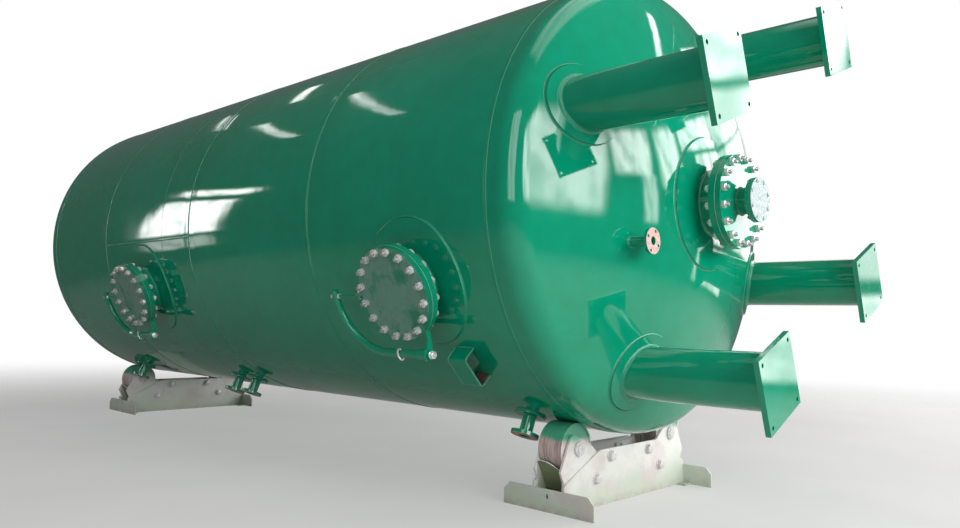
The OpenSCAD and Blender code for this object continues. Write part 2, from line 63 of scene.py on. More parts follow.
@dataclass(frozen=True)
class Sizes:
    """Sizes of the frame that the looks follow, put together from the sizes in the part's source."""

    shell_r: float = 1.516
    axis_h: float = 1.96014
    tangent_x: float = 0.205
    tangent_length: float = 6.730
    crown_r: float = 3.032
    knuckle_r: float = 0.182
    straight: float = 0.080
    seams: tuple[float, ...] = (1.783, 3.529, 5.264)
    seat_gap: float = 0.0003
    pad_t: float = 0.014
    manhole_angle: float = 202.0
    manhole_at: Pair = (0.752, 4.460)
    neck_r: float = 0.2032
    flange_r: float = 0.2985
    flange_t: float = 0.0366
    face_t: float = 0.004
    pcd_r: float = 0.2699
    manhole_reach: float = 0.190
    manhole_pad_r: float = 0.415
    davit_y: float = -0.3925
    davit_d: float = 0.048
    davit_foot: float = 0.160
    davit_arm_at: float = 0.592
    rod_r: float = 0.010
    lug_t: float = 0.016
    leg_angles: tuple[float, ...] = (157.0, 67.0, -23.0, -113.0)
    leg_circle_r: float = 1.173
    leg_r: float = 0.16195
    leg_pad_r: float = 0.235
    leg_reach: float = 1.142
    base_t: float = 0.032
    centre_pad_r: float = 0.425
    centre_reach: float = 0.713
    stub_r: float = 0.08415
    stub_flange_t: float = 0.020
    stub_reach: float = 0.122
    stub_pcd_r: float = 0.12065
    small_r: float = 0.03015
    small_at_r: float = 0.822
    small_reach: float = 0.540
    small_flange_t: float = 0.019
    drain_angle: float = 247.0
    drain_at: tuple[float, ...] = (0.474, 3.850, 4.154, 6.265)
    drain_r: float = 0.04445
    drain_pad_r: float = 0.105
    drain_reach: float = 0.150
    drain_flange_t: float = 0.024
    bracket_angle: float = 223.3
    bracket_at: float = 0.524
    bracket_w: float = 0.237
    bracket_l: float = 0.152
    bracket_h: float = 0.104
    bracket_t: float = 0.010
    bracket_bend_r: float = 0.026
    roll_at: Pair = (0.205, 6.502)
    axle_y: float = 0.568
    axle_h: float = 0.383
    side_in: float = 0.109
    side_t: float = 0.016
    half_foot: float = 0.735
    foot_t: float = 0.012
    foot_h: float = 0.140

    @property
    def head_depth(self) -> float:
        """Depth of a dished head from its tangent line, where crown and knuckle circles touch."""
        reach = (self.crown_r - self.knuckle_r) ** 2 - (self.shell_r - self.knuckle_r) ** 2
        return self.crown_r - math.sqrt(reach)

    @property
    def crown_x(self) -> float:
        """Place of the crown's centre along the tank, from the tangent line."""
        return self.head_depth - self.crown_r

    @property
    def pad_top(self) -> float:
        """Distance of a pad's outer skin from the tank's axis."""
        return self.shell_r + self.seat_gap + self.pad_t

    @property
    def joint_r(self) -> float:
        """Distance of a manhole's joint from the tank's axis."""
        return self.shell_r + self.manhole_reach - self.flange_t

    @property
    def davit_z(self) -> float:
        """Distance of a davit bar's middle from the tank's axis."""
        return self.joint_r + self.flange_t / 2


@dataclass(frozen=True)
class WeldLegs:
    """Leg lengths of the corner welds."""

    manhole_pad: float = 0.011
    big_neck: float = 0.013
    big_flange: float = 0.008
    hinge: float = 0.007
    leg_pad: float = 0.010
    leg_foot: float = 0.018
    leg_top: float = 0.010
    centre_pad: float = 0.010
    stub_foot: float = 0.009
    stub_flange: float = 0.006
    small_foot: float = 0.008
    small_flange: float = 0.005
    drain_pad: float = 0.009
    drain_foot: float = 0.008
    drain_flange: float = 0.006
    bracket: float = 0.008
    roll: float = 0.008


S = Sizes()
W = WeldLegs()


class Body(Enum):
    """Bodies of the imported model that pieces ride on."""

    TANK = "tank_on_rolls"
    COVER_1 = "cover_by_legs"
    COVER_2 = "cover_far"
    ROLLER_1 = "roller_1"
    ROLLER_2 = "roller_2"
    ROLLER_3 = "roller_3"
    ROLLER_4 = "roller_4"


class Slot(Enum):
    """Material slots of the record."""

    GREEN = "green_paint"
    COVER = "cover_paint"
    PALE = "pale_blind"
    NOZZLE = "nozzle_paint"
    FRAME = "frame_paint"
    STEEL = "roller_steel"


@dataclass(frozen=True)
class Place:
    """A local frame: its origin and the directions of its three axes in the world."""

    origin: Vec
    x: Vec
    y: Vec
    z: Vec

    def axes(self) -> Array:
        """The three axes as the rows of a matrix."""
        return np.array([self.x, self.y, self.z])

    def world(self, points: Array) -> Array:
        """Local points as world points."""
        return points @ self.axes() + np.array(self.origin)

    def turned(self, vectors: Array) -> Array:
        """Local directions as world directions."""
        return vectors @ self.axes()

    def moved(self, offset: Vec) -> "Place":
        """The same frame with its origin moved by a local offset."""
        return Place(tuple(self.world(np.array(offset))), self.x, self.y, self.z)


def radial_place(at: float, angle: float) -> Place:
    """Frame on the tank's axis whose Z points out of the shell.

    Args:
        at: distance behind the tangent line by the legs.
        angle: direction of Z in degrees, from +Y towards +Z.

    Returns:
        The frame, with its X along the tank.
    """
    a = math.radians(angle)
    c, s = math.cos(a), math.sin(a)
    return Place((S.tangent_x - at, 0.0, S.axis_h), AHEAD, (0.0, s, -c), (0.0, c, s))


def head_place(angle: float, radius: float) -> Place:
    """Frame whose Z points along the tank out of the leg head.

    Args:
        angle: where the origin lies round the tank's axis, in degrees.
        radius: distance of the origin from the tank's axis.

    Returns:
        The frame, with its X away from the tank's axis.
    """
    a = math.radians(angle)
    c, s = math.cos(a), math.sin(a)
    origin = (S.tangent_x, radius * c, S.axis_h + radius * s)
    return Place(origin, (0.0, c, s), (0.0, -s, c), AHEAD)


HEAD_MIDDLE = head_place(90.0, 0.0)
BRACKET_PLACE = radial_place(S.bracket_at, S.bracket_angle)


def full_turn(count: int) -> Array:
    """Evenly spaced angles round a full turn, from 0 on."""
    return np.arange(count) * TURN / count


def round_outline(radius: float, count: int, sink: float = 0.0) -> Array:
    """Circle as an outline for a sweep, its middle moved back by the sink in both directions."""
    t = full_turn(count)
    return np.stack([np.cos(t), np.sin(t)], 1) * radius - sink


@dataclass
class Form:
    """Points, four-cornered faces and the faces' UV corners of a shape."""

    points: Array
    faces: Array
    uv: Array

    def put(self, place: Place) -> "Form":
        """The shape moved from a local frame into the world."""
        return Form(place.world(self.points), self.faces, self.uv)

    @staticmethod
    def join(forms: list["Form"]) -> "Form":
        """Several shapes as one."""
        starts = np.cumsum([0] + [len(f.points) for f in forms[:-1]])
        faces = np.concatenate([f.faces + s for f, s in zip(forms, starts)])
        points = np.concatenate([f.points for f in forms])
        return Form(points, faces, np.concatenate([f.uv for f in forms]))


def surface(grid: Array, loop_rows: bool = False, loop_cols: bool = True) -> Form:
    """Skin over a grid of points. UV holds the length run along the rows and along the columns.

    Args:
        grid: points as rows by columns by three.
        loop_rows: whether the last row joins the first.
        loop_cols: whether the last column joins the first.

    Returns:
        The shape with one four-cornered face for each cell of the grid.
    """
    rows, cols = grid.shape[:2]
    step_r = np.linalg.norm(np.roll(grid, -1, 0) - grid, axis=2).mean(1)
    step_c = np.linalg.norm(np.roll(grid, -1, 1) - grid, axis=2).mean(0)
    run_r = np.concatenate([[0.0], np.cumsum(step_r)])
    run_c = np.concatenate([[0.0], np.cumsum(step_c)])
    rows_used = np.arange(rows if loop_rows else rows - 1)
    cols_used = np.arange(cols if loop_cols else cols - 1)
    i, j = (a.ravel() for a in np.meshgrid(rows_used, cols_used, indexing="ij"))
    corner_i = np.stack([i, i + 1, i + 1, i], 1)
    corner_j = np.stack([j, j, j + 1, j + 1], 1)
    faces = (corner_i % rows) * cols + corner_j % cols
    return Form(grid.reshape(-1, 3), faces, np.stack([run_r[corner_i], run_c[corner_j]], 2))


def lathe(profile: list[tuple[float, float]], steps: int) -> Form:
    """Turned shape: the point at radius r and height z sweeps the circle (r cos t, r sin t, z).

    Args:
        profile: radius and height pairs from one pole to the other.
        steps: columns round the circle.

    Returns:
        The closed shape about local Z.
    """
    rz = np.array(profile)
    t = full_turn(steps)
    r, z = rz[:, :1], np.broadcast_to(rz[:, 1:], (len(rz), steps))
    return surface(np.stack([r * np.cos(t), r * np.sin(t), z], 2))


def hex_form(across: float, low: float, high: float) -> Form:
    """Hexagon nut or head, with a cone that takes the corners off both ends, so the end faces are discs.

    The outline's radius is half the distance across flats over the cosine of the angle to the nearest flat.

    Args:
        across: distance across the flats.
        low: height of the lower face.
        high: height of the upper face.

    Returns:
        The closed shape about local Z.
    """
    t = full_turn(12)
    off = np.mod(t, TURN / 6) - TURN / 12
    rim = across / 2 / np.cos(off)
    disc = np.full(12, across * 0.475)
    drop = (rim - disc) * 0.5
    radii = np.stack([disc * 0, disc, rim, rim, disc, disc * 0])
    flat = np.zeros(12)
    heights = np.stack([flat + low, flat + low, low + drop, high - drop, flat + high, flat + high])
    return surface(np.stack([radii * np.cos(t), radii * np.sin(t), heights], 2))


def swept(path: Array, side: Array, up: Array, outline: Array, loop: bool) -> Form:
    """Outline carried along a path: each point is path + a side + b up, for the outline's pairs (a, b).

    Args:
        path: points of the path, one a row.
        side: direction of the outline's first coordinate at each point.
        up: direction of the outline's second coordinate at each point.
        outline: closed outline, pairs of lengths.
        loop: whether the path closes on itself. Open ends are closed with a cap.

    Returns:
        The closed shape.
    """
    grid = path[:, None] + outline[None, :, :1] * side[:, None] + outline[None, :, 1:] * up[:, None]
    if not loop:
        ends = [np.broadcast_to(g.mean(0), g.shape)[None] for g in (grid[0], grid[-1])]
        grid = np.concatenate([ends[0], grid, ends[1]])
    return surface(grid, loop_rows=loop)


def directions(path: Array, loop: bool) -> Array:
    """Unit direction of travel at each point of a path."""
    ahead = np.roll(path, -1, 0) - np.roll(path, 1, 0)
    if not loop:
        ahead[0], ahead[-1] = path[1] - path[0], path[-1] - path[-2]
    return unit(ahead)


def unit(vectors: Array) -> Array:
    """Vectors scaled to length one."""
    return vectors / np.linalg.norm(vectors, axis=-1, keepdims=True)


def bead(path: Array, normal: Array, width: float, height: float, loop: bool) -> Form:
    """Low weld bead on a surface: a half oval carried along the path, with its foot just below the skin.

    Args:
        path: points of the weld's middle line on the skin.
        normal: the skin's normal at each point.
        width: width of the bead.
        height: height of its crown over the skin.
        loop: whether the path closes on itself.

    Returns:
        The bead.
    """
    t = np.linspace(0.0, math.pi, 9)
    arch = np.stack([np.cos(t) * width / 2, np.sin(t) ** 0.8 * height], 1)
    foot = np.array([[-width / 2, -0.0012], [width / 2, -0.0012]])
    side = np.cross(directions(path, loop), normal)
    return swept(path, side, normal, np.concatenate([arch, foot]), loop)


def fillet(path: Array, out: Array, up: Array, leg: float, loop: bool = True) -> Form:
    """Corner weld: a slightly hollow triangle between a base and a wall, carried along their corner.

    Args:
        path: points of the corner line.
        out: direction along the base, away from the wall, at each point.
        up: direction along the wall, away from the base, at each point.
        leg: length of each leg of the triangle.
        loop: whether the corner closes on itself.

    Returns:
        The weld.
    """
    t = np.linspace(0.0, math.pi / 2, 5)
    face = np.stack([leg * (1 - np.sin(t) * 0.9), leg * (1 - np.cos(t) * 0.9)], 1)
    face[0], face[-1] = (leg, 0.0), (0.0, leg)
    sunk = np.array([[-0.001, leg], [-0.001, -0.001], [leg, -0.001]])
    return swept(path, out, up, np.concatenate([face, sunk]), loop)


def tube(path: Array, radius: float, up: Vec, steps: int = 12) -> Form:
    """Round bar along a path: a circle square to the travel, its second coordinate nearest to up."""
    go = directions(path, False)
    side = unit(np.cross(go, np.array(up)))
    return swept(path, side, np.cross(side, go), round_outline(radius, steps), False)


def bar(start: Vec, end: Vec, count: int) -> Array:
    """Evenly spaced points on a straight line."""
    return np.linspace(np.array(start), np.array(end), count)


def skin_circle(place: Place, rho: float, big_r: float, count: int) -> tuple[Array, Array, Array]:
    """Where a tube of radius rho along local Z meets a cylinder of radius big_r about local X.

    A point at angle t lies at (rho cos t, rho sin t) and at height sqrt(big_r squared - y squared).

    Args:
        place: frame on the tank's axis.
        rho: radius of the tube.
        big_r: radius of the cylinder.
        count: points on the curve.

    Returns:
        World points, the cylinder's normals there, and the directions on the cylinder away from the tube.
    """
    t = full_turn(count)
    x, y = rho * np.cos(t), rho * np.sin(t)
    z = np.sqrt(big_r**2 - y**2)
    normal = np.stack([x * 0, y, z], 1) / big_r
    away = np.stack([x, y, z * 0], 1) / rho
    away = unit(away - (away * normal).sum(1, keepdims=True) * normal)
    return place.world(np.stack([x, y, z], 1)), place.turned(normal), place.turned(away)


def crown_circle(place: Place, rho: float, lift: float, count: int) -> tuple[Array, Array, Array]:
    """Where a tube of radius rho along the tank meets the crown's sphere, raised by lift.

    A point keeps its Y and Z and lies where the sphere's equation gives its X.

    Args:
        place: frame of the tube on the head.
        rho: radius of the tube.
        lift: height over the crown's skin.
        count: points on the curve.

    Returns:
        World points, the sphere's normals there, and the directions on the sphere away from the tube.
    """
    t = full_turn(count)
    flat = place.world(np.stack([rho * np.cos(t), rho * np.sin(t), t * 0], 1))
    centre = np.array([S.tangent_x + S.crown_x, 0.0, S.axis_h])
    big_r = S.crown_r + lift
    rest = flat[:, 1:] - centre[1:]
    flat[:, 0] = centre[0] + np.sqrt(big_r**2 - (rest**2).sum(1))
    normal = (flat - centre) / big_r
    away = place.turned(np.stack([np.cos(t), np.sin(t), t * 0], 1))
    return flat, normal, unit(away - (away * normal).sum(1, keepdims=True) * normal)


def flat_circle(place: Place, rho: float, height: float, count: int) -> tuple[Array, Array]:
    """World points of a level circle about local Z, and the directions away from its middle."""
    t = full_turn(count)
    away = np.stack([np.cos(t), np.sin(t), t * 0], 1)
    points = away * rho + np.array([0.0, 0.0, height])
    return place.world(points), place.turned(away)


def same(vector: Vec, count: int) -> Array:
    """One direction repeated for each point of a path."""
    return np.tile(np.array(vector, float), (count, 1))


def line_weld(start: Vec, end: Vec, out: Vec, up: Vec, leg: float, count: int) -> Form:
    """Corner weld along a straight corner, whose base and wall have one direction each."""
    return fillet(bar(start, end, count), same(out, count), same(up, count), leg, False)


def foot_weld(ring: tuple[Array, Array, Array], leg: float, up: Vec | None = None) -> Form:
    """Corner weld round a pad or a tube that stands on a skin.

    Args:
        ring: points of the corner, the skin's normals there, and the directions away from the tube.
        leg: length of the weld's legs.
        up: direction of the tube, or None for a pad, whose rim follows the skin's normals.

    Returns:
        The weld.
    """
    points, normal, away = ring
    return fillet(points, away, normal if up is None else same(up, len(points)), leg)


def face_weld(place: Place, radius: float, height: float, leg: float, count: int, up: float = -1.0) -> Form:
    """Corner weld round a tube along local Z at a flat face.

    Args:
        place: frame of the tube.
        radius: the tube's radius.
        height: height of the face.
        leg: length of the weld's legs.
        count: points round the tube.
        up: 1 where the tube stands on the face, -1 where it ends below it.

    Returns:
        The weld.
    """
    points, away = flat_circle(place, radius, height, count)
    return fillet(points, away, up * same(place.z, count), leg)


class Tree:
    """Node tree of a material, a lamp or the world, with short calls for its nodes."""

    def __init__(self, tree: bpy.types.NodeTree) -> None:
        """Empties the tree."""
        self.tree = tree
        self.tree.nodes.clear()

    def feed(self, socket: Socket, value: object) -> None:
        """Links a socket to another, or sets its value."""
        if isinstance(value, Socket):
            self.tree.links.new(value, socket)
        elif isinstance(value, tuple) and len(value) == 3 and len(socket.default_value) == 4:
            socket.default_value = (*value, 1.0)
        else:
            socket.default_value = value

    def node(self, kind: str, inputs: dict, output: int = 0, **settings: object) -> Socket:
        """Adds a node.

        Args:
            kind: the node's type.
            inputs: input name or number to a value or another node's output.
            output: number of the wanted output.
            settings: options of the node.

        Returns:
            The wanted output.
        """
        made = self.tree.nodes.new(kind)
        for key, value in settings.items():
            setattr(made, key, value)
        for key, value in inputs.items():
            self.feed(made.inputs[key], value)
        return made.outputs[output]

    def span(
        self, value: Socket, low: float, high: float, to: Pair = (0.0, 1.0), soft: bool = False
    ) -> Socket:
        """Brings a value to another range and holds it there.

        Args:
            value: the value's socket.
            low: value that gives the start of the new range.
            high: value that gives its end.
            to: the new range.
            soft: whether the change starts and ends softly.

        Returns:
            The held value.
        """
        sockets = {"Value": value, "From Min": low, "From Max": high, "To Min": to[0], "To Max": to[1]}
        kind = "SMOOTHSTEP" if soft else "LINEAR"
        return self.node("ShaderNodeMapRange", sockets, interpolation_type=kind)

    def sums(self, how: str, a: object, b: object) -> Socket:
        """Two numbers put together by a Math node, such as MULTIPLY."""
        return self.node("ShaderNodeMath", {0: a, 1: b}, operation=how)

    def dot(self, vector: Socket, way: Vec) -> Socket:
        """How far a vector reaches along a direction."""
        return self.node("ShaderNodeVectorMath", {0: vector, 1: way}, output=1, operation="DOT_PRODUCT")

    def normal(self) -> Socket:
        """The surface's normal."""
        return self.tree.nodes.new("ShaderNodeNewGeometry").outputs["Normal"]

    def blend(self, share: object, a: Socket, b: Socket) -> Socket:
        """Shader a where the share is 0 and shader b where it is 1."""
        return self.node("ShaderNodeMixShader", {0: share, 1: a, 2: b})

    def mix(self, share: object, a: object, b: object) -> Socket:
        """Colour a where the share is 0 and colour b where it is 1."""
        made = self.tree.nodes.new("ShaderNodeMix")
        made.data_type = "RGBA"
        self.feed(made.inputs[0], share)
        self.feed(made.inputs[6], a)
        self.feed(made.inputs[7], b)
        return made.outputs[2]


class Graph(Tree):
    """Node graph of one material, with short calls for the patterns that the finishes use."""

    def __init__(self, name: str) -> None:
        """Starts a material that holds one Principled shader."""
        self.material = bpy.data.materials.new(name)
        self.material.use_nodes = True
        super().__init__(self.material.node_tree)
        self.out = self.tree.nodes.new("ShaderNodeOutputMaterial")
        self.shader = self.tree.nodes.new("ShaderNodeBsdfPrincipled")
        self.tree.links.new(self.shader.outputs[0], self.out.inputs[0])
        self.object_at = self.tree.nodes.new("ShaderNodeTexCoord").outputs["Object"]

    def noise(self, scale: float, detail: float = 3.0, stretch: Vec = (1.0, 1.0, 1.0)) -> Socket:
        """Cloudy pattern on the object's own coordinates, about 0.5 in the middle."""
        at = self.node("ShaderNodeMapping", {"Vector": self.object_at, "Scale": stretch})
        return self.node("ShaderNodeTexNoise", {"Vector": at, "Scale": scale, "Detail": detail})

    def place(self, axis: int) -> Socket:
        """One of the object's own coordinates: 0 for X, 1 for Y, 2 for Z."""
        return self.node("ShaderNodeSeparateXYZ", {0: self.object_at}, output=axis)

    def along(self, place: Place, way: Vec) -> Socket:
        """Distance from a frame's origin along a direction."""
        return self.sums("SUBTRACT", self.dot(self.object_at, way), float(np.dot(place.origin, way)))

    def facing(self, axis: int) -> Socket:
        """One coordinate of the surface's normal, such as 2 for Z: 1 on top, -1 underneath."""
        return self.node("ShaderNodeSeparateXYZ", {0: self.normal()}, output=axis)

    def bump(self, height: Socket, distance: float, strength: float, under: Socket | None = None) -> Socket:
        """Small relief from a pattern.

        Args:
            height: the pattern.
            distance: height of the relief in metres where the pattern is 1.
            strength: share of the relief that shows.
            under: another relief that this one lies on.

        Returns:
            The surface's new normal.
        """
        sockets = {"Height": height, "Distance": distance, "Strength": strength}
        if under is not None:
            sockets["Normal"] = under
        return self.node("ShaderNodeBump", sockets)

    def ripples(self, pitch: float, distort: float) -> Socket:
        """Bands across the run of a bead or a thread, on the piece's own UV map.

        The wave's bands stand pi / 10 apart at scale 1.
        """
        uv = self.node("ShaderNodeUVMap", {}, uv_map="run")
        sockets = {"Vector": uv, "Scale": 0.314 / pitch, "Distortion": distort, "Detail": 2.0}
        return self.node("ShaderNodeTexWave", sockets, output=1, wave_type="BANDS", bands_direction="X")

    def done(self, **sockets: object) -> bpy.types.Material:
        """Sets the shader's sockets, named with underscores for spaces, and gives the material."""
        for key, value in sockets.items():
            self.feed(self.shader.inputs[key.replace("_", " ")], value)
        return self.material


@dataclass(frozen=True)
class Paint:
    """Sprayed enamel: cloudy tone, dust on top, orange peel, slow waves, plates drawn in at ring welds."""

    name: str
    slot: Slot
    dark: Vec
    light: Vec
    rough: Pair = (0.030, 0.085)
    dust: float = 0.05
    dust_colour: Vec = (0.42, 0.47, 0.42)
    wave: float = 0.0030
    small_wave: float = 0.16
    peel: float = 0.00005
    coat: float = 0.30
    weld_pitch: float = 0.0
    weld_relief: float = 0.0011
    drawn_in: tuple[float, ...] = ()
    draw_depth: float = 0.0022
    draw_reach: float = 0.12

    def pull(self, g: Graph) -> Socket:
        """Distance to the nearest ring weld, from 0 at the weld to 1 where the plate is flat again."""
        along = g.place(0)
        nearest: object = 1.0
        for at in self.drawn_in:
            away = g.sums("ABSOLUTE", g.sums("SUBTRACT", along, S.tangent_x - at), 0.0)
            nearest = g.sums("MINIMUM", nearest, away)
        return g.span(nearest, 0.0, self.draw_reach, soft=True)

    def build(self) -> bpy.types.Material:
        """Makes the material."""
        g = Graph(self.name)
        broad, cloud = g.noise(0.7, 2.0), g.noise(9.0, 6.0)
        tone = g.span(g.sums("ADD", broad, g.sums("MULTIPLY", cloud, 0.6)), 0.55, 1.05)
        colour = g.mix(tone, self.dark, self.light)
        settled = g.span(g.facing(2), 0.15, 1.0, (0.0, self.dust))
        dusty = g.sums("MULTIPLY", settled, g.span(g.noise(3.0, 8.0), 0.35, 0.7))
        colour = g.mix(dusty, colour, self.dust_colour)
        gloss = g.span(g.noise(2.2, 5.0), 0.35, 0.7, self.rough)
        relief = g.bump(g.noise(1.6, 1.0), self.wave, 1.0)
        relief = g.bump(g.noise(6.5, 1.5), self.wave * self.small_wave, 1.0, relief)
        if self.drawn_in:
            relief = g.bump(self.pull(g), self.draw_depth, 1.0, relief)
        relief = g.bump(g.noise(420.0, 2.0), self.peel, 0.3, relief)
        if self.weld_pitch:
            relief = g.bump(g.ripples(self.weld_pitch, 2.5), self.weld_relief, 0.8, relief)
        g.done(Base_Color=colour, Roughness=gloss, Normal=relief)
        return g.done(Coat_Weight=self.coat, Coat_Roughness=0.035)


OUTWARD = (0.0, math.cos(math.radians(S.manhole_angle)), math.sin(math.radians(S.manhole_angle)))


@dataclass(frozen=True)
class CoverPaint:
    """Duller cover enamel: a grey dry film of spray mist, a glossy green patch low down and a green rim."""

    name: str
    slot: Slot
    film: Vec = (0.085, 0.235, 0.175)
    film_light: Vec = (0.125, 0.285, 0.220)
    green: Vec = (0.003, 0.200, 0.105)
    low_from: Pair = (1.30, 1.10)

    def build(self) -> bpy.types.Material:
        """Makes the material."""
        g = Graph(self.name)
        low = g.span(g.place(2), *self.low_from)
        cloud = g.sums("ADD", g.noise(5.5, 3.0), g.sums("MULTIPLY", low, 0.12))
        rim = g.span(g.dot(g.normal(), OUTWARD), 0.9, 0.6)
        patch = g.sums("MAXIMUM", g.span(cloud, 0.50, 0.68, soft=True), rim)
        colour = g.mix(g.span(g.noise(30.0, 6.0), 0.3, 0.7), self.film, self.film_light)
        colour = g.mix(patch, colour, self.green)
        gloss = g.span(patch, 0.0, 1.0, (0.34, 0.09))
        relief = g.bump(g.noise(300.0, 3.0), 0.00012, 0.4, g.bump(g.noise(7.0, 2.0), 0.0008, 0.4))
        g.done(Base_Color=colour, Roughness=gloss, Normal=relief)
        return g.done(Coat_Weight=0.15, Coat_Roughness=0.08)


@dataclass(frozen=True)
class Zinc:
    """Plated bolting: pale metal with cloudy spangle, green spray mist and, on studs, the thread's turns."""

    name: str
    slot: Slot
    colour: Vec = (0.92, 0.91, 0.92)
    dull: Vec = (0.74, 0.73, 0.75)
    grime: Vec = (0.34, 0.30, 0.28)
    green: Vec = (0.08, 0.40, 0.27)
    mist: float = 0.30
    metal: float = 0.55
    thread: float = 0.0

    def build(self) -> bpy.types.Material:
        """Makes the material."""
        g = Graph(self.name)
        spangle = g.noise(160.0, 4.0)
        grime = g.span(g.noise(60.0, 5.0), 0.54, 0.72, (0.0, 0.45))
        colour = g.mix(grime, g.mix(spangle, self.colour, self.dull), self.grime)
        mist = g.span(g.noise(23.0, 4.0), 0.50, 0.66, (0.0, self.mist))
        colour = g.mix(mist, colour, self.green)
        gloss = g.span(spangle, 0.3, 0.7, (0.20, 0.38))
        relief = g.bump(g.noise(260.0, 3.0), 0.0001, 0.4)
        if self.thread:
            relief = g.bump(g.ripples(self.thread, 0.0), 0.0012, 1.0, relief)
        return g.done(Base_Color=colour, Roughness=gloss, Normal=relief, Metallic=self.metal)


@dataclass(frozen=True)
class PalePaint:
    """Whitish weathered face of the blind: chalky film over green, scratched and smeared; the pale front
    face is also a painted highlight.
    """

    name: str
    slot: Slot
    face_at: float
    chalk_and_highlight: Vec = (0.56, 0.63, 0.64)
    smudge: Vec = (0.26, 0.35, 0.33)
    green: Vec = (0.02, 0.26, 0.16)

    def build(self) -> bpy.types.Material:
        """Makes the material."""
        g = Graph(self.name)
        smear = g.span(g.noise(48.0, 8.0, (1.0, 2.4, 0.8)), 0.42, 0.56)
        # Only the front face gets the pale chalk colour, which also serves as a painted highlight; the sides
        # stay green.
        front = g.span(g.place(0), self.face_at - 0.0035, self.face_at - 0.0015)
        colour = g.mix(front, self.green, g.mix(smear, self.smudge, self.chalk_and_highlight))
        relief = g.bump(g.noise(90.0, 6.0), 0.0006, 0.5)
        gloss = g.span(smear, 0.0, 1.0, (0.42, 0.65))
        return g.done(Base_Color=colour, Roughness=gloss, Specular_IOR_Level=0.25, Normal=relief)


@dataclass(frozen=True)
class NozzlePaint:
    """Green nozzle whose joint face shows red-brown primer, told by how far the face lies along an axis."""

    name: str
    slot: Slot
    axis: Vec
    face_at: float
    green: Vec = (0.002, 0.245, 0.130)
    green_light: Vec = (0.003, 0.285, 0.155)
    primer: Vec = (0.50, 0.225, 0.19)
    worn: Vec = (0.66, 0.44, 0.40)

    def build(self) -> bpy.types.Material:
        """Makes the material."""
        g = Graph(self.name)
        face = g.span(g.dot(g.object_at, self.axis), self.face_at - 0.0015, self.face_at - 0.0004)
        patchy = g.sums("MULTIPLY", face, g.span(g.noise(70.0, 6.0), 0.30, 0.46))
        tone = g.mix(g.noise(26.0, 5.0), self.green, self.green_light)
        rusty = g.mix(g.span(g.noise(55.0, 6.0), 0.35, 0.65), self.primer, self.worn)
        colour = g.mix(patchy, tone, rusty)
        gloss = g.span(patchy, 0.0, 1.0, (0.06, 0.5))
        relief = g.bump(g.noise(300.0, 3.0), 0.0001, 0.4)
        g.done(Base_Color=colour, Roughness=gloss, Normal=relief)
        return g.done(Coat_Weight=0.2, Coat_Roughness=0.05)


@dataclass(frozen=True)
class BracketPaint:
    """Bent bracket: green outside, red-brown primer on its inner faces darkened as painted shade, told by
    its width and height.
    """

    name: str
    slot: Slot
    green: Vec = (0.0012, 0.205, 0.112)
    green_light: Vec = (0.0016, 0.270, 0.150)
    # The primer colours are kept very dark: real red-brown primer with painted shade of the bracket's
    # hollow.
    primer: Vec = (0.060, 0.030, 0.026)
    shaded_primer_light: Vec = (0.150, 0.075, 0.065)

    def build(self) -> bpy.types.Material:
        """Makes the material."""
        g = Graph(self.name)
        place = BRACKET_PLACE
        across = g.sums("ABSOLUTE", g.along(place, place.y), 0.0)
        half, top = S.bracket_w / 2 - S.bracket_t, S.shell_r + S.bracket_h - S.bracket_t
        inside = g.span(across, half + 0.0012, half + 0.0004)
        inside = g.sums("MULTIPLY", inside, g.span(g.along(place, place.z), top + 0.0012, top + 0.0004))
        tone = g.mix(g.noise(20.0, 5.0), self.green, self.green_light)
        shaded_primer = g.mix(g.span(g.noise(34.0, 6.0), 0.4, 0.65), self.primer, self.shaded_primer_light)
        gloss = g.span(inside, 0.0, 1.0, (0.07, 0.42))
        relief = g.bump(g.noise(300.0, 3.0), 0.0001, 0.4)
        return g.done(Base_Color=g.mix(inside, tone, shaded_primer), Roughness=gloss, Normal=relief)


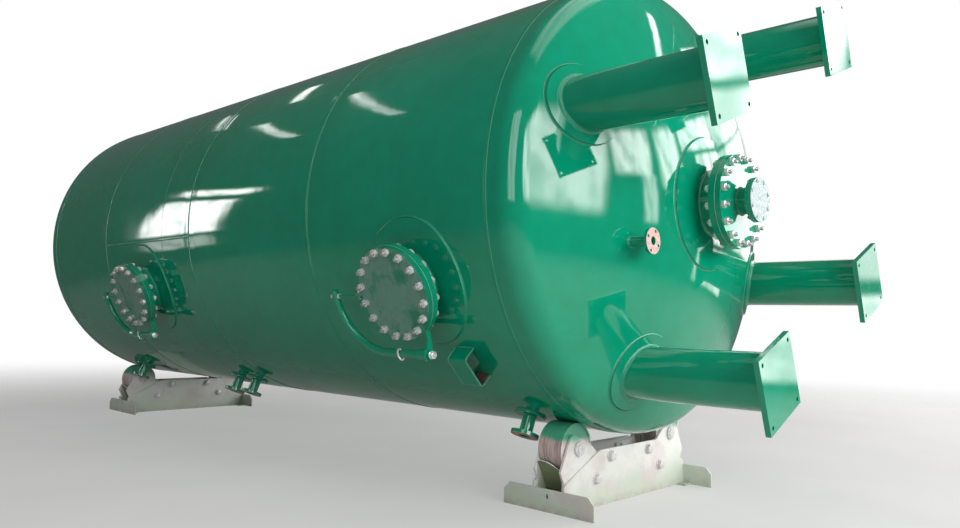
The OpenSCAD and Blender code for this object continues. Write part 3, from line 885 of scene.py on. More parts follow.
@dataclass(frozen=True)
class FramePaint:
    """Pale shop paint of the rolls: stained, greener and dirtier low down, green overspray high up."""

    name: str
    slot: Slot
    pale: Vec = (0.72, 0.71, 0.68)
    low: Vec = (0.50, 0.56, 0.47)
    stain: Vec = (0.54, 0.44, 0.43)
    olive: Vec = (0.17, 0.21, 0.11)
    spray: Vec = (0.03, 0.33, 0.19)
    rust: Vec = (0.19, 0.09, 0.045)
    dirt: Vec = (0.34, 0.29, 0.24)
    lean: float = 28.0
    cheek_in: float = 0.093
    guard_out: float = 0.165
    roller_clear: float = 0.166

    def guard(self, g: Graph) -> Socket:
        """1 on the guard plates: between the cheeks, and further from the axle than the roller is."""
        middle = S.tangent_x - S.roll_at[1]
        reach: object = 1.0
        for at in (0.0, middle):
            reach = g.sums("MINIMUM", reach, g.sums("ABSOLUTE", g.sums("SUBTRACT", g.place(0), at), 0.0))
        out = g.sums("SUBTRACT", g.sums("ABSOLUTE", g.place(1), 0.0), S.axle_y)
        down = g.sums("SUBTRACT", S.axle_h, g.place(2))
        c, s = math.cos(math.radians(self.lean)), math.sin(math.radians(self.lean))
        far = g.sums("ADD", g.sums("MULTIPLY", out, c), g.sums("MULTIPLY", down, s))
        between = g.span(reach, self.cheek_in + 0.0002, self.cheek_in - 0.0002)
        inside = g.sums("MULTIPLY", between, g.span(out, self.guard_out + 0.001, self.guard_out - 0.001))
        return g.sums("MULTIPLY", inside, g.span(far, self.roller_clear, self.roller_clear + 0.006))

    def build(self) -> bpy.types.Material:
        """Makes the material."""
        g = Graph(self.name)
        cloud = g.sums("ADD", g.place(2), g.span(g.noise(3.0, 3.0), 0.3, 0.7, (-0.07, 0.07)))
        colour = g.mix(g.span(cloud, 0.05, 0.30, soft=True), self.low, self.pale)
        stains = g.sums("ADD", g.noise(3.6, 3.0), g.sums("MULTIPLY", g.noise(40.0, 6.0), 0.16))
        colour = g.mix(g.span(stains, 0.58, 0.78, (0.0, 0.5), True), colour, self.stain)
        guard = self.guard(g)
        # Guard plates are olive except on faces turned up, which keep the pale colour as a painted highlight
        # along their top edges.
        edge = g.span(g.facing(2), 0.2, 0.75, (1.0, 0.0))
        colour = g.mix(g.sums("MULTIPLY", guard, edge), colour, self.olive)
        ragged = g.sums("ADD", g.place(2), g.span(g.noise(8.0, 3.0), 0.3, 0.7, (-0.02, 0.02)))
        colour = g.mix(g.span(ragged, 0.405, 0.475, (0.0, 0.88), True), colour, self.spray)
        rust = g.span(g.noise(38.0, 7.0), 0.73, 0.78, (0.0, 0.7))
        colour = g.mix(rust, colour, self.rust)
        splash = g.span(g.noise(16.0, 6.0), 0.35, 0.62, (0.15, 0.7))
        dirt = g.sums("MULTIPLY", g.span(g.place(2), 0.06, 0.0), splash)
        colour = g.mix(dirt, colour, self.dirt)
        gloss = g.span(g.noise(20.0, 5.0), 0.3, 0.7, (0.32, 0.55))
        relief = g.bump(g.noise(180.0, 5.0), 0.0003, 0.4, g.bump(rust, 0.0006, 0.5))
        return g.done(Base_Color=colour, Roughness=gloss, Normal=relief)


@dataclass(frozen=True)
class RollerSteel:
    """Worn roller: pinkish brown tread scuffed round, pale sides, green overspray on the upper part."""

    name: str
    slot: Slot
    brown: Vec = (0.30, 0.215, 0.20)
    pink: Vec = (0.58, 0.45, 0.43)
    pale: Vec = (0.66, 0.62, 0.61)
    spray: Vec = (0.03, 0.33, 0.19)

    def build(self) -> bpy.types.Material:
        """Makes the material."""
        g = Graph(self.name)
        scuff = g.noise(9.0, 8.0, (14.0, 1.0, 1.0))
        colour = g.mix(g.span(scuff, 0.36, 0.62), self.brown, self.pink)
        side = g.span(g.sums("ABSOLUTE", g.facing(0), 0.0), 0.4, 0.8)
        patchy = g.span(g.noise(12.0, 6.0), 0.3, 0.6, (0.4, 1.0))
        colour = g.mix(g.sums("MULTIPLY", side, patchy), colour, self.pale)
        ragged = g.sums("ADD", g.place(2), g.span(g.noise(7.0, 4.0), 0.3, 0.7, (-0.016, 0.016)))
        spray = g.span(ragged, 0.425, 0.470, soft=True)
        colour = g.mix(g.sums("MULTIPLY", spray, 0.93), colour, self.spray)
        gloss = g.span(spray, 0.0, 1.0, (0.45, 0.15))
        relief = g.bump(scuff, 0.0008, 0.5, g.bump(g.noise(120.0, 4.0), 0.0004, 0.4))
        return g.done(Base_Color=colour, Roughness=gloss, Normal=relief)


GREEN = ((0.0010, 0.228, 0.121), (0.0016, 0.288, 0.160))
# Pale green of rubbed edges: edge wear that also serves as a painted highlight along the edges.
EDGE_WEAR_AND_HIGHLIGHT = ((0.03, 0.30, 0.18), (0.34, 0.60, 0.50))
FRAME_BEAD = ((0.42, 0.47, 0.38), (0.58, 0.61, 0.54))
DRAIN_AXIS = (0.0, math.cos(math.radians(S.drain_angle)), math.sin(math.radians(S.drain_angle)))
DRAIN_FACE = S.shell_r + S.drain_reach + S.axis_h * DRAIN_AXIS[2]
SEAMS = (S.straight, *S.seams, S.tangent_length - S.straight)


class Finishes:
    """Every finish of the object, each made once."""

    def __init__(self) -> None:
        """Makes the materials."""
        recipes = [
            Paint("shell_enamel", Slot.GREEN, *GREEN, drawn_in=SEAMS),
            Paint("green_enamel", Slot.GREEN, *GREEN, wave=0.0012),
            Paint("weld_enamel", Slot.GREEN, *GREEN, (0.07, 0.14), wave=0.0, weld_pitch=0.0065),
            Paint("rubbed_edge_and_highlight", Slot.GREEN, *EDGE_WEAR_AND_HIGHLIGHT, (0.12, 0.30), wave=0.0),
            CoverPaint("cover_enamel", Slot.COVER),
            PalePaint("blind_chalk_and_highlight", Slot.PALE, S.tangent_x + S.centre_reach + S.stub_reach),
            NozzlePaint("nozzle_enamel", Slot.NOZZLE, AHEAD, S.tangent_x + S.small_reach),
            NozzlePaint("drain_enamel", Slot.NOZZLE, DRAIN_AXIS, DRAIN_FACE),
            BracketPaint("bracket_enamel_with_painted_shade", Slot.GREEN),
            FramePaint("frame_enamel", Slot.FRAME),
            Paint("frame_weld", Slot.FRAME, *FRAME_BEAD, (0.45, 0.65), wave=0.0, coat=0.0, weld_pitch=0.005),
            RollerSteel("roller_tread", Slot.STEEL),
            Zinc("plated_nut", Slot.STEEL),
            # Stud ends and threads get a dark brown colour: painted shade over the plated metal.
            Zinc("thread_in_painted_shade", Slot.STEEL, (0.24, 0.18, 0.18), mist=0.1, thread=0.003),
            Zinc("grey_bolt", Slot.STEEL, (0.60, 0.56, 0.54), mist=0.05, metal=0.15),
        ]
        self.made = {r.name: r.build() for r in recipes}
        self.slots = {r.name: r.slot for r in recipes}

    def nodes(self, finish: str, *names: str) -> None:
        """Gives CAD nodes their finish."""
        for name in names:
            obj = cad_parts[name]
            if not obj.data.materials:
                obj.data.materials.append(self.made[finish])
            for slot in obj.material_slots:
                slot.material = self.made[finish]

    def weld(self, name: str, form: Form, finish: str = "weld_enamel") -> None:
        """Makes a bead that rides on the tank, smooth across its hollow."""
        self.piece(name, form, finish, Body.TANK, 60.0)

    def piece(self, name: str, form: Form, finish: str, body: Body, smooth: float = 40.0) -> None:
        """Makes a piece from a shape and lets it ride on a body.

        Args:
            name: name of the piece.
            form: its shape in the world.
            finish: name of its finish.
            body: body that carries it.
            smooth: edges sharper than this many degrees stay sharp.
        """
        mesh = bpy.data.meshes.new(name)
        mesh.vertices.add(len(form.points))
        mesh.vertices.foreach_set("co", form.points.astype(np.float32).ravel())
        mesh.loops.add(form.faces.size)
        mesh.loops.foreach_set("vertex_index", form.faces.astype(np.int32).ravel())
        mesh.polygons.add(len(form.faces))
        mesh.polygons.foreach_set("loop_start", np.arange(0, form.faces.size, 4, dtype=np.int32))
        mesh.uv_layers.new(name="run").data.foreach_set("uv", form.uv.astype(np.float32).ravel())
        mesh.update(calc_edges=True)
        work = bmesh.new()
        work.from_mesh(mesh)
        bmesh.ops.remove_doubles(work, verts=work.verts, dist=2e-6)
        bmesh.ops.recalc_face_normals(work, faces=work.faces)
        work.to_mesh(mesh)
        work.free()
        mesh.shade_smooth()
        mesh.set_sharp_from_angle(angle=math.radians(smooth))
        mesh.materials.append(self.made[finish])
        obj = bpy.data.objects.new(name, mesh)
        bpy.context.scene.collection.objects.link(obj)
        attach(obj, body.value)
        log.info("%s: %d faces", name, len(mesh.polygons))


@dataclass
class BigJoint:
    """Bolting of a big flange pair: studs with a nut at each end, sixteen round the circle."""

    name: str
    place: Place
    joint: float
    lower_body: Body
    upper_body: Body
    tip: float = 0.022
    count: int = 16
    nut: float = 0.043
    nut_h: float = 0.025
    stud_r: float = 0.0127
    rear_tip: float = 0.012
    twist: float = 0.83
    edge_r: float = 0.0020
    edge_sink: float = 0.0006

    def around(self, shape: Form) -> Form:
        """One copy of a shape for each bolt, each turned a little further than the last."""
        forms = []
        for i, turn in enumerate(full_turn(self.count) + TURN / 2 / self.count):
            spin = turn + i * self.twist
            c, s = math.cos(spin), math.sin(spin)
            middle = (S.pcd_r * math.cos(turn), S.pcd_r * math.sin(turn), self.joint)
            forms.append(shape.put(Place(middle, (c, s, 0.0), (-s, c, 0.0), UP)).put(self.place))
        return Form.join(forms)

    def stud(self, low: float, high: float) -> Form:
        """Stud end with bevels and a small centre hole in each tip, 10 faces round."""
        r, b, hole = self.stud_r, 0.002, 0.004
        upper = [(r, high - b), (r - b, high), (hole, high), (0.0, high - hole)]
        return lathe([(0.0, low + hole), (hole, low), (r - b, low), (r, low + b), *upper], 10)

    def edge(self) -> Form:
        """Rubbed edge of the cover at its joint: a thin round bead along the rim's circle, pale as edge wear
        and as a painted highlight.
        """
        path, out = flat_circle(self.place, S.flange_r, self.joint, BIG_STEPS)
        ring = round_outline(self.edge_r, 8, self.edge_sink)
        return swept(path, out, -same(self.place.z, BIG_STEPS), ring, True)

    def dress(self, finishes: Finishes) -> None:
        """Makes the cover's edge and the nuts and studs of both sides."""
        finishes.piece(f"cover_edge_{self.name}", self.edge(), "rubbed_edge_and_highlight", self.upper_body, 60.0)
        top, back = S.flange_t, -S.face_t - S.flange_t
        upper = hex_form(self.nut, top, top + self.nut_h)
        lower = hex_form(self.nut, back - self.nut_h, back)
        finishes.piece(f"nuts_front_{self.name}", self.around(upper), "plated_nut", self.upper_body)
        finishes.piece(f"nuts_back_{self.name}", self.around(lower), "plated_nut", self.lower_body)
        front = self.stud(0.004, top + self.nut_h + self.tip)
        rear = self.stud(back - self.nut_h - self.rear_tip, -0.010)
        finishes.piece(f"studs_front_{self.name}", self.around(front), "thread_in_painted_shade", self.upper_body)
        finishes.piece(f"studs_back_{self.name}", self.around(rear), "thread_in_painted_shade", self.lower_body)


@dataclass
class Shell:
    """Rolled shell: ring welds between courses and heads, one long weld, and the faint ring line."""

    finishes: Finishes
    ring_w: float = 0.020
    ring_h: float = 0.0026
    line_at: float = 4.033
    line_w: float = 0.008
    line_h: float = 0.0007
    long_angle: float = 185.0
    head_w: float = 0.014
    head_h: float = 0.0016
    head_way: Pair = (0.545, 0.838)
    head_off: float = 0.71
    steps: int = 400

    def ring(self, at: float, width: float, height: float) -> Form:
        """Bead round the shell at a distance from the tangent line: a circle of the shell's radius."""
        t = full_turn(self.steps)
        normal = np.stack([t * 0, np.cos(t), np.sin(t)], 1)
        path = normal * S.shell_r + np.array([S.tangent_x - at, 0.0, S.axis_h])
        return bead(path, normal, width, height, True)

    def long_seam(self, start: float, end: float, angle: float) -> Form:
        """Straight bead along the shell at one angle."""
        a = math.radians(angle)
        normal = (0.0, math.cos(a), math.sin(a))
        skin = np.array(normal) * S.shell_r + np.array([S.tangent_x, 0.0, S.axis_h])
        path = bar((skin[0] - start, skin[1], skin[2]), (skin[0] - end, skin[1], skin[2]), 60)
        return bead(path, same(normal, 60), self.ring_w, self.ring_h, False)

    def head_seam(self) -> Form:
        """Straight bead up the leg head's crown, from the middle pad on.

        In Y and Z it lies on the line a z - b y = off, along the direction (a, b).
        """
        a, b = self.head_way
        run = np.linspace(0.02, 1.02, 60)
        y, z = a * run - b * self.head_off, b * run + a * self.head_off
        centre = np.array([S.tangent_x + S.crown_x, 0.0, S.axis_h])
        path = np.stack([np.sqrt(S.crown_r**2 - y**2 - z**2), y, z], 1) + centre
        return bead(path, unit(path - centre), self.head_w, self.head_h, False)

    def dress(self) -> None:
        """Paints the plates and lays the welds."""
        f = self.finishes
        f.nodes("shell_enamel", *(f"shell_course_{i}" for i in range(1, 5)), "leg_head", "plain_head")
        for i, at in enumerate(SEAMS, 1):
            f.weld(f"ring_weld_{i}", self.ring(at, self.ring_w, self.ring_h))
        f.weld("ring_line", self.ring(self.line_at, self.line_w, self.line_h))
        f.weld("long_weld", self.long_seam(S.seams[1] + 0.01, S.seams[2] - 0.01, self.long_angle))
        f.weld("head_weld", self.head_seam())


@dataclass
class Manhole:
    """Manhole with its pad welds, bolting, and the small parts of its davit."""

    finishes: Finishes
    number: int
    cover_body: Body
    rim_way: Pair = (0.88, -0.48)
    rod_nut: float = 0.030
    pin_out: float = 0.040
    handle_r: float = 0.0055

    @property
    def place(self) -> Place:
        """Frame on the tank's axis with Z out through the manhole."""
        return radial_place(S.manhole_at[self.number - 1], S.manhole_angle)

    def welds(self) -> Form:
        """Corner welds: pad on the skin, neck on the pad, neck under the flange."""
        place, back = self.place, S.joint_r - S.face_t - S.flange_t
        pad = foot_weld(skin_circle(place, S.manhole_pad_r, S.shell_r, BIG_STEPS), W.manhole_pad)
        neck = foot_weld(skin_circle(place, S.neck_r, S.pad_top, NECK_STEPS), W.big_neck, place.z)
        return Form.join([pad, neck, face_weld(place, S.neck_r, back, W.big_flange, NECK_STEPS)])

    def hinge_welds(self) -> Form:
        """Welds where the hinge plate stands on the flange's rim, one on each side."""
        low, high = S.joint_r - S.face_t - S.flange_t, S.joint_r - S.face_t
        forms = []
        for x, side in ((S.davit_foot, 1.0), (S.davit_foot - S.lug_t, -1.0)):
            rim = -math.sqrt(S.flange_r**2 - x**2)
            out = (side * self.rim_way[0], self.rim_way[1], 0.0)
            forms.append(line_weld((x, rim, low), (x, rim, high), out, (0.0, -1.0, 0.0), W.hinge, 10))
        return Form.join(forms).put(self.place)

    def rod_nuts(self) -> Form:
        """A nut on each side of the davit's arm."""
        along = Place((-S.davit_arm_at, -(S.lug_t + 2 * S.rod_r) / 2, S.davit_z), LEFT, UP, AHEAD)
        nuts = [hex_form(self.rod_nut, low, low + 0.015) for low in (-0.0405, 0.0255)]
        return Form.join(nuts).put(along).put(self.place)

    def pin(self) -> Form:
        """Pin through the rod's eye and the cover's lug: a shank with a domed head and a washer."""
        head = [(0.0, -0.030), (0.010, -0.028), (0.012, -0.024), (0.012, -0.021), (0.0066, -0.0205)]
        washer = [(0.0066, 0.0165), (0.014, 0.017), (0.014, 0.020)]
        tail = [(0.009, 0.0205), (0.009, 0.029), (0.0, 0.030)]
        middle = (-S.flange_r - self.pin_out, -S.lug_t / 2, S.davit_z)
        turn = Place(middle, AHEAD, (0.0, 0.0, -1.0), LEFT)
        return lathe([*head, *washer, *tail], 16).put(turn).put(self.place)

    def cap(self) -> Form:
        """Bright nut and stud end on the end of the davit's foot."""
        along = Place((S.davit_foot + S.davit_d / 2, S.davit_y, S.davit_z), LEFT, UP, AHEAD)
        washer = lathe([(0.0, 0.0002), (0.0255, 0.0002), (0.0255, 0.002), (0.0240, 0.003), (0.0, 0.003)], 28)
        nut = hex_form(0.043, 0.003, 0.022)
        end = [(0.012, 0.027), (0.010, 0.029), (0.004, 0.029), (0.0, 0.025)]
        tip = lathe([(0.0, 0.010), (0.012, 0.010), *end], 12)
        return Form.join([washer, nut, tip]).put(along).put(self.place)

    def handle(self) -> Form:
        """Small bent handle on the davit bar: an oval hook, open at one side, in front of the bar."""
        t = np.linspace(-0.5, 3.9, 26)
        y = S.davit_y + 0.0035 + 0.036 * np.cos(t)
        x = -0.062 - 0.020 * np.sin(t)
        z = S.davit_z + 0.030 + 0.006 * np.sin(t)
        return tube(np.stack([x, y, z], 1), self.handle_r, UP).put(self.place)

    def dress(self) -> None:
        """Paints the manhole's nodes and adds its pieces."""
        f, n, body = self.finishes, self.number, self.cover_body
        f.nodes("green_enamel", f"manhole_pad_{n}", f"manhole_neck_{n}", f"davit_{n}")
        f.nodes("cover_enamel", f"manhole_cover_{n}")
        BigJoint(f"manhole_{n}", self.place, S.joint_r, Body.TANK, body).dress(f)
        f.weld(f"manhole_welds_{n}", self.welds())
        f.weld(f"hinge_welds_{n}", self.hinge_welds())
        f.piece(f"rod_nuts_{n}", self.rod_nuts(), "plated_nut", body)
        f.piece(f"davit_pin_{n}", self.pin(), "plated_nut", body)
        f.piece(f"davit_cap_{n}", self.cap(), "plated_nut", body)
        f.piece(f"davit_handle_{n}", self.handle(), "plated_nut", body)


@dataclass
class LegHead:
    """What stands on the leg head: tube legs, the big middle nozzle with its stub, and the small nozzle."""

    finishes: Finishes
    bolt_head: float = 0.024
    bolt_r: float = 0.0085

    def leg_welds(self, angle: float) -> Form:
        """Corner welds of a leg: pad on the crown, tube on the pad, tube under the base plate."""
        place = head_place(angle, S.leg_circle_r)
        pad = foot_weld(crown_circle(place, S.leg_pad_r, 0.0, LEG_PAD_STEPS), W.leg_pad)
        foot = foot_weld(crown_circle(place, S.leg_r, S.seat_gap + S.pad_t, NECK_STEPS), W.leg_foot, AHEAD)
        top = face_weld(place, S.leg_r, S.leg_reach - S.base_t, W.leg_top, NECK_STEPS)
        return Form.join([pad, foot, top])

    def middle_welds(self) -> Form:
        """Corner welds of the middle nozzle: pad, neck, flange back, and the stub on its cover."""
        place, flange_at = HEAD_MIDDLE, S.centre_reach - 2 * S.flange_t - S.face_t
        blind_at = S.centre_reach + S.stub_reach - 2 * S.stub_flange_t
        pad = foot_weld(crown_circle(place, S.centre_pad_r, 0.0, BIG_STEPS), W.centre_pad)
        neck = foot_weld(crown_circle(place, S.neck_r, S.seat_gap + S.pad_t, NECK_STEPS), W.big_neck, AHEAD)
        back = face_weld(place, S.neck_r, flange_at, W.big_flange, NECK_STEPS)
        stub = face_weld(place, S.stub_r, S.centre_reach, W.stub_foot, STUB_STEPS, 1.0)
        flange = face_weld(place, S.stub_r, blind_at, W.stub_flange, STUB_STEPS)
        return Form.join([pad, neck, back, stub, flange])

    def small_welds(self) -> Form:
        """Corner welds of the small nozzle on the crown and behind its flange."""
        place = head_place(S.manhole_angle, S.small_at_r)
        foot = foot_weld(crown_circle(place, S.small_r, 0.0, SMALL_STEPS), W.small_foot, AHEAD)
        flange_at = S.small_reach - S.small_flange_t
        return Form.join([foot, face_weld(place, S.small_r, flange_at, W.small_flange, SMALL_STEPS)])

    def blind_bolts(self) -> Form:
        """Eight bolts of the stub's blind: a low head in front and a nut behind."""
        r, face = self.bolt_r, S.centre_reach + S.stub_reach
        low, back = face - 0.060, face - 2 * S.stub_flange_t
        head = hex_form(self.bolt_head, face, face + 0.005)
        nut = hex_form(self.bolt_head, back - 0.013, back)
        shank = lathe([(0.0, low), (r, low), (r, face + 0.007), (0.0, face + 0.008)], 12)
        bolt = Form.join([head, nut, shank])
        turns = full_turn(8) + TURN / 16
        spots = [(S.stub_pcd_r * math.cos(t), S.stub_pcd_r * math.sin(t), 0.0) for t in turns]
        return Form.join([bolt.put(HEAD_MIDDLE.moved(spot)) for spot in spots])

    def dress(self) -> None:
        """Paints the nodes and adds welds and bolting."""
        f = self.finishes
        for i, angle in enumerate(S.leg_angles, 1):
            f.nodes("green_enamel", f"leg_{i}", f"base_plate_{i}")
            f.weld(f"leg_welds_{i}", self.leg_welds(angle))
        f.nodes("green_enamel", "centre_pad", "centre_neck", "cover_stub", "centre_cover")
        f.nodes("blind_chalk_and_highlight", "stub_blind")
        f.nodes("nozzle_enamel", "small_nozzle")
        joint = S.centre_reach - S.flange_t
        BigJoint("middle", HEAD_MIDDLE, joint, Body.TANK, Body.TANK, tip=0.020).dress(f)
        f.weld("middle_welds", self.middle_welds())
        f.weld("small_nozzle_welds", self.small_welds())
        f.piece("blind_bolts", self.blind_bolts(), "blind_chalk_and_highlight", Body.TANK)


@dataclass
class Underside:
    """Drain nozzles and the bent plate bracket low on the shell."""

    finishes: Finishes
    edge_r: float = 0.0022
    edge_sink: float = 0.0008

    def drain_welds(self, at: float) -> Form:
        """Corner welds of a drain nozzle: pad on the skin, tube on the pad, tube behind the flange."""
        place = radial_place(at, S.drain_angle)
        flange_at = S.shell_r + S.drain_reach - S.drain_flange_t
        pad = foot_weld(skin_circle(place, S.drain_pad_r, S.shell_r, DRAIN_PAD_STEPS), W.drain_pad)
        foot = foot_weld(skin_circle(place, S.drain_r, S.pad_top, SMALL_STEPS), W.drain_foot, place.z)
        return Form.join([pad, foot, face_weld(place, S.drain_r, flange_at, W.drain_flange, SMALL_STEPS)])

    def bracket_welds(self) -> Form:
        """Straight corner welds along the outside of the bracket's two legs."""
        forms = []
        for side in SIDES:
            x, y = S.bracket_l / 2, side * S.bracket_w / 2
            z = math.sqrt(S.shell_r**2 - y**2)
            out = (0.0, side * z / S.shell_r, -side * y / S.shell_r)
            forms.append(line_weld((-x, y, z), (x, y, z), out, UP, W.bracket, 24))
        return Form.join(forms).put(BRACKET_PLACE)

    def bracket_edges(self) -> Form:
        """Rubbed outer edges of the bracket's two ends: up a leg, round the bends, down the other leg, pale
        as edge wear and as a painted highlight.
        """
        half, r, top = S.bracket_w / 2, S.bracket_bend_r, S.shell_r + S.bracket_h
        foot = math.sqrt(S.shell_r**2 - half**2) + 0.004
        t = np.linspace(0.0, math.pi / 2, 9)
        bend = np.stack([half - r + r * np.cos(t), top - r + r * np.sin(t)], 1)
        line = np.concatenate([[(half, foot)], bend, bend[::-1] * np.array([-1.0, 1.0]), [(-half, foot)]])
        ring = round_outline(self.edge_r, 8, self.edge_sink)
        forms = []
        for side in SIDES:
            path = np.stack([line[:, 0] * 0 + side * S.bracket_l / 2, line[:, 0], line[:, 1]], 1)
            out = np.cross(directions(path, False), np.array(AHEAD))
            forms.append(swept(path, same((side, 0.0, 0.0), len(path)), out, ring, False))
        return Form.join(forms).put(BRACKET_PLACE)

    def dress(self) -> None:
        """Paints the nodes and adds the welds and the bracket's edges."""
        f = self.finishes
        for i, at in enumerate(S.drain_at, 1):
            f.nodes("drain_enamel", f"drain_nozzle_{i}")
            f.weld(f"drain_welds_{i}", self.drain_welds(at))
        f.nodes("bracket_enamel_with_painted_shade", "plate_bracket")
        f.weld("bracket_edges", self.bracket_edges(), "rubbed_edge_and_highlight")
        f.weld("bracket_welds", self.bracket_welds())


@dataclass
class TurningRoll:
    """One turning roll: side plates and feet, roller brackets, rollers, and the bolting that holds them."""

    finishes: Finishes
    number: int
    bolts: tuple[Pair, ...] = ((0.336, 0.078), (0.175, 0.204))
    bolt_head: float = 0.054
    bolt_h: float = 0.024
    washer_r: float = 0.039
    sole_weld: float = 0.088

    @property
    def middle(self) -> float:
        """World X of the roll's middle."""
        return S.tangent_x - S.roll_at[self.number - 1]

    def bolt(self) -> Form:
        """Hexagon head on a round washer with a bevelled rim."""
        r, low = self.washer_r, 0.0045
        washer = lathe([(0.0, 0.0), (r, 0.0), (r, 0.003), (r - 0.0015, low), (0.0, low)], 24)
        return Form.join([washer, hex_form(self.bolt_head, low, low + self.bolt_h)])

    def outer_spot(self, side: float, y: float, z: float, tilt: float) -> Place:
        """Frame on the outer face of a side plate, its Z along the tank, turned by tilt about it."""
        c, s = math.cos(tilt), math.sin(tilt)
        origin = (self.middle + side * (S.side_in + S.side_t), y, z)
        return Place(origin, (0.0, side * c, s), (0.0, -side * s, c), (side, 0.0, 0.0))

    def bolting(self) -> Form:
        """Big bolts on the outer faces of both side plates, inward of each axle and below it."""
        forms = []
        for side, hand in CORNERS:
            for k, (inward, down) in enumerate(self.bolts):
                turn = 0.4 + k * 0.5 + hand * 0.2
                spot = self.outer_spot(side, hand * (S.axle_y - inward), S.axle_h - down, turn)
                forms.append(self.bolt().put(spot))
        return Form.join(forms)

    def axle_ends(self) -> Form:
        """Washers and bevelled ends of the axles, outside the cheeks."""
        ring = [(0.0, -0.012), (0.047, -0.012), (0.047, -0.003), (0.044, 0.0), (0.0335, 0.0)]
        ring += [(0.032, 0.006), (0.012, 0.006), (0.010, 0.003), (0.0, 0.003)]
        shape = lathe(ring, 40)
        return Form.join([shape.put(self.outer_spot(a, b * S.axle_y, S.axle_h, 0.0)) for a, b in CORNERS])

    def plate_welds(self) -> Form:
        """Corner welds at the ends of the side plates: up the feet and along the soles."""
        forms = []
        for side, hand in CORNERS:
            x, y, out = self.middle + side * (S.side_in + S.side_t), hand * S.half_foot, (side, 0.0, 0.0)
            low, inner = (x, y, S.foot_t), (x, y - hand * self.sole_weld, S.foot_t)
            forms.append(line_weld(low, (x, y, S.foot_h), out, (0.0, -hand, 0.0), W.roll, 20))
            forms.append(line_weld(low, inner, out, UP, W.roll, 16))
        return Form.join(forms)

    def dress(self) -> None:
        """Paints the nodes and adds bolting and welds."""
        f, n = self.finishes, self.number
        f.nodes("frame_enamel", f"roll_frame_{n}", f"roller_bracket_{2 * n - 1}", f"roller_bracket_{2 * n}")
        f.nodes("roller_tread", f"roller_{2 * n - 1}", f"roller_{2 * n}")
        f.piece(f"roll_bolts_{n}", self.bolting(), "grey_bolt", Body.TANK)
        f.piece(f"axle_ends_{n}", self.axle_ends(), "grey_bolt", Body.TANK)
        f.weld(f"roll_welds_{n}", self.plate_welds(), "frame_weld")


@dataclass(frozen=True)
class Panel:
    """A lamp's place as seen from a point on the tank, in degrees, with its radiance and dim border."""

    name: str
    azimuth: Pair
    rise: Pair
    glow: float
    fade: float = 0.30
    lean: float = 0.0


HEAD_PANELS = (
    Panel("side_panel", (-85.0, -58.0), (-1.0, 39.0), 3.1),
    Panel("front_panel", (-36.0, 20.0), (0.0, 33.0), 8.5, 1.3),
    Panel("low_panel", (19.0, 37.0), (12.0, 25.5), 9.0, 0.5),
    Panel("middle_panel", (38.0, 50.0), (9.0, 25.5), 8.0, 0.6),
    Panel("narrow_panel", (30.5, 38.0), (0.5, 14.0), 5.0, 0.4),
    Panel("right_panel", (56.0, 70.0), (-0.5, 18.4), 6.0, 0.22),
    Panel("right_edge_panel", (69.5, 99.0), (0.0, 18.4), 2.9, 0.22),
    Panel("right_floor_panel", (55.0, 74.0), (-9.4, -0.6), 3.4, 0.2),
    Panel("right_top_panel", (50.0, 70.0), (18.3, 25.5), 6.5, 0.22),
    Panel("right_top_edge_panel", (69.5, 99.0), (18.3, 25.5), 2.7, 0.22),
    Panel("long_strip", (52.5, 76.5), (39.6, 42.6), 8.5, 0.25, 31.0),
    Panel("short_strip", (76.0, 99.0), (31.2, 33.8), 7.0, 0.25, -22.0),
)
SHELL_PANELS = (
    Panel("rear_panel", (-159.5, -150.5), (0.5, 14.0), 8.5),
    Panel("rear_top_panel", (-159.5, -149.0), (14.6, 18.0), 7.5),
    Panel("rear_floor_panel", (-159.0, -151.0), (-5.0, 0.6), 2.0),
)
# Middle in X and Y, and size in X and Y.
TOP_PANELS = (
    (-12.2, 1.2, 0.8, 2.4),
    (-9.9, -3.3, 0.7, 4.2),
    (-15.5, 0.2, 0.8, 2.6),
    (-13.7, -3.4, 0.8, 3.2),
)


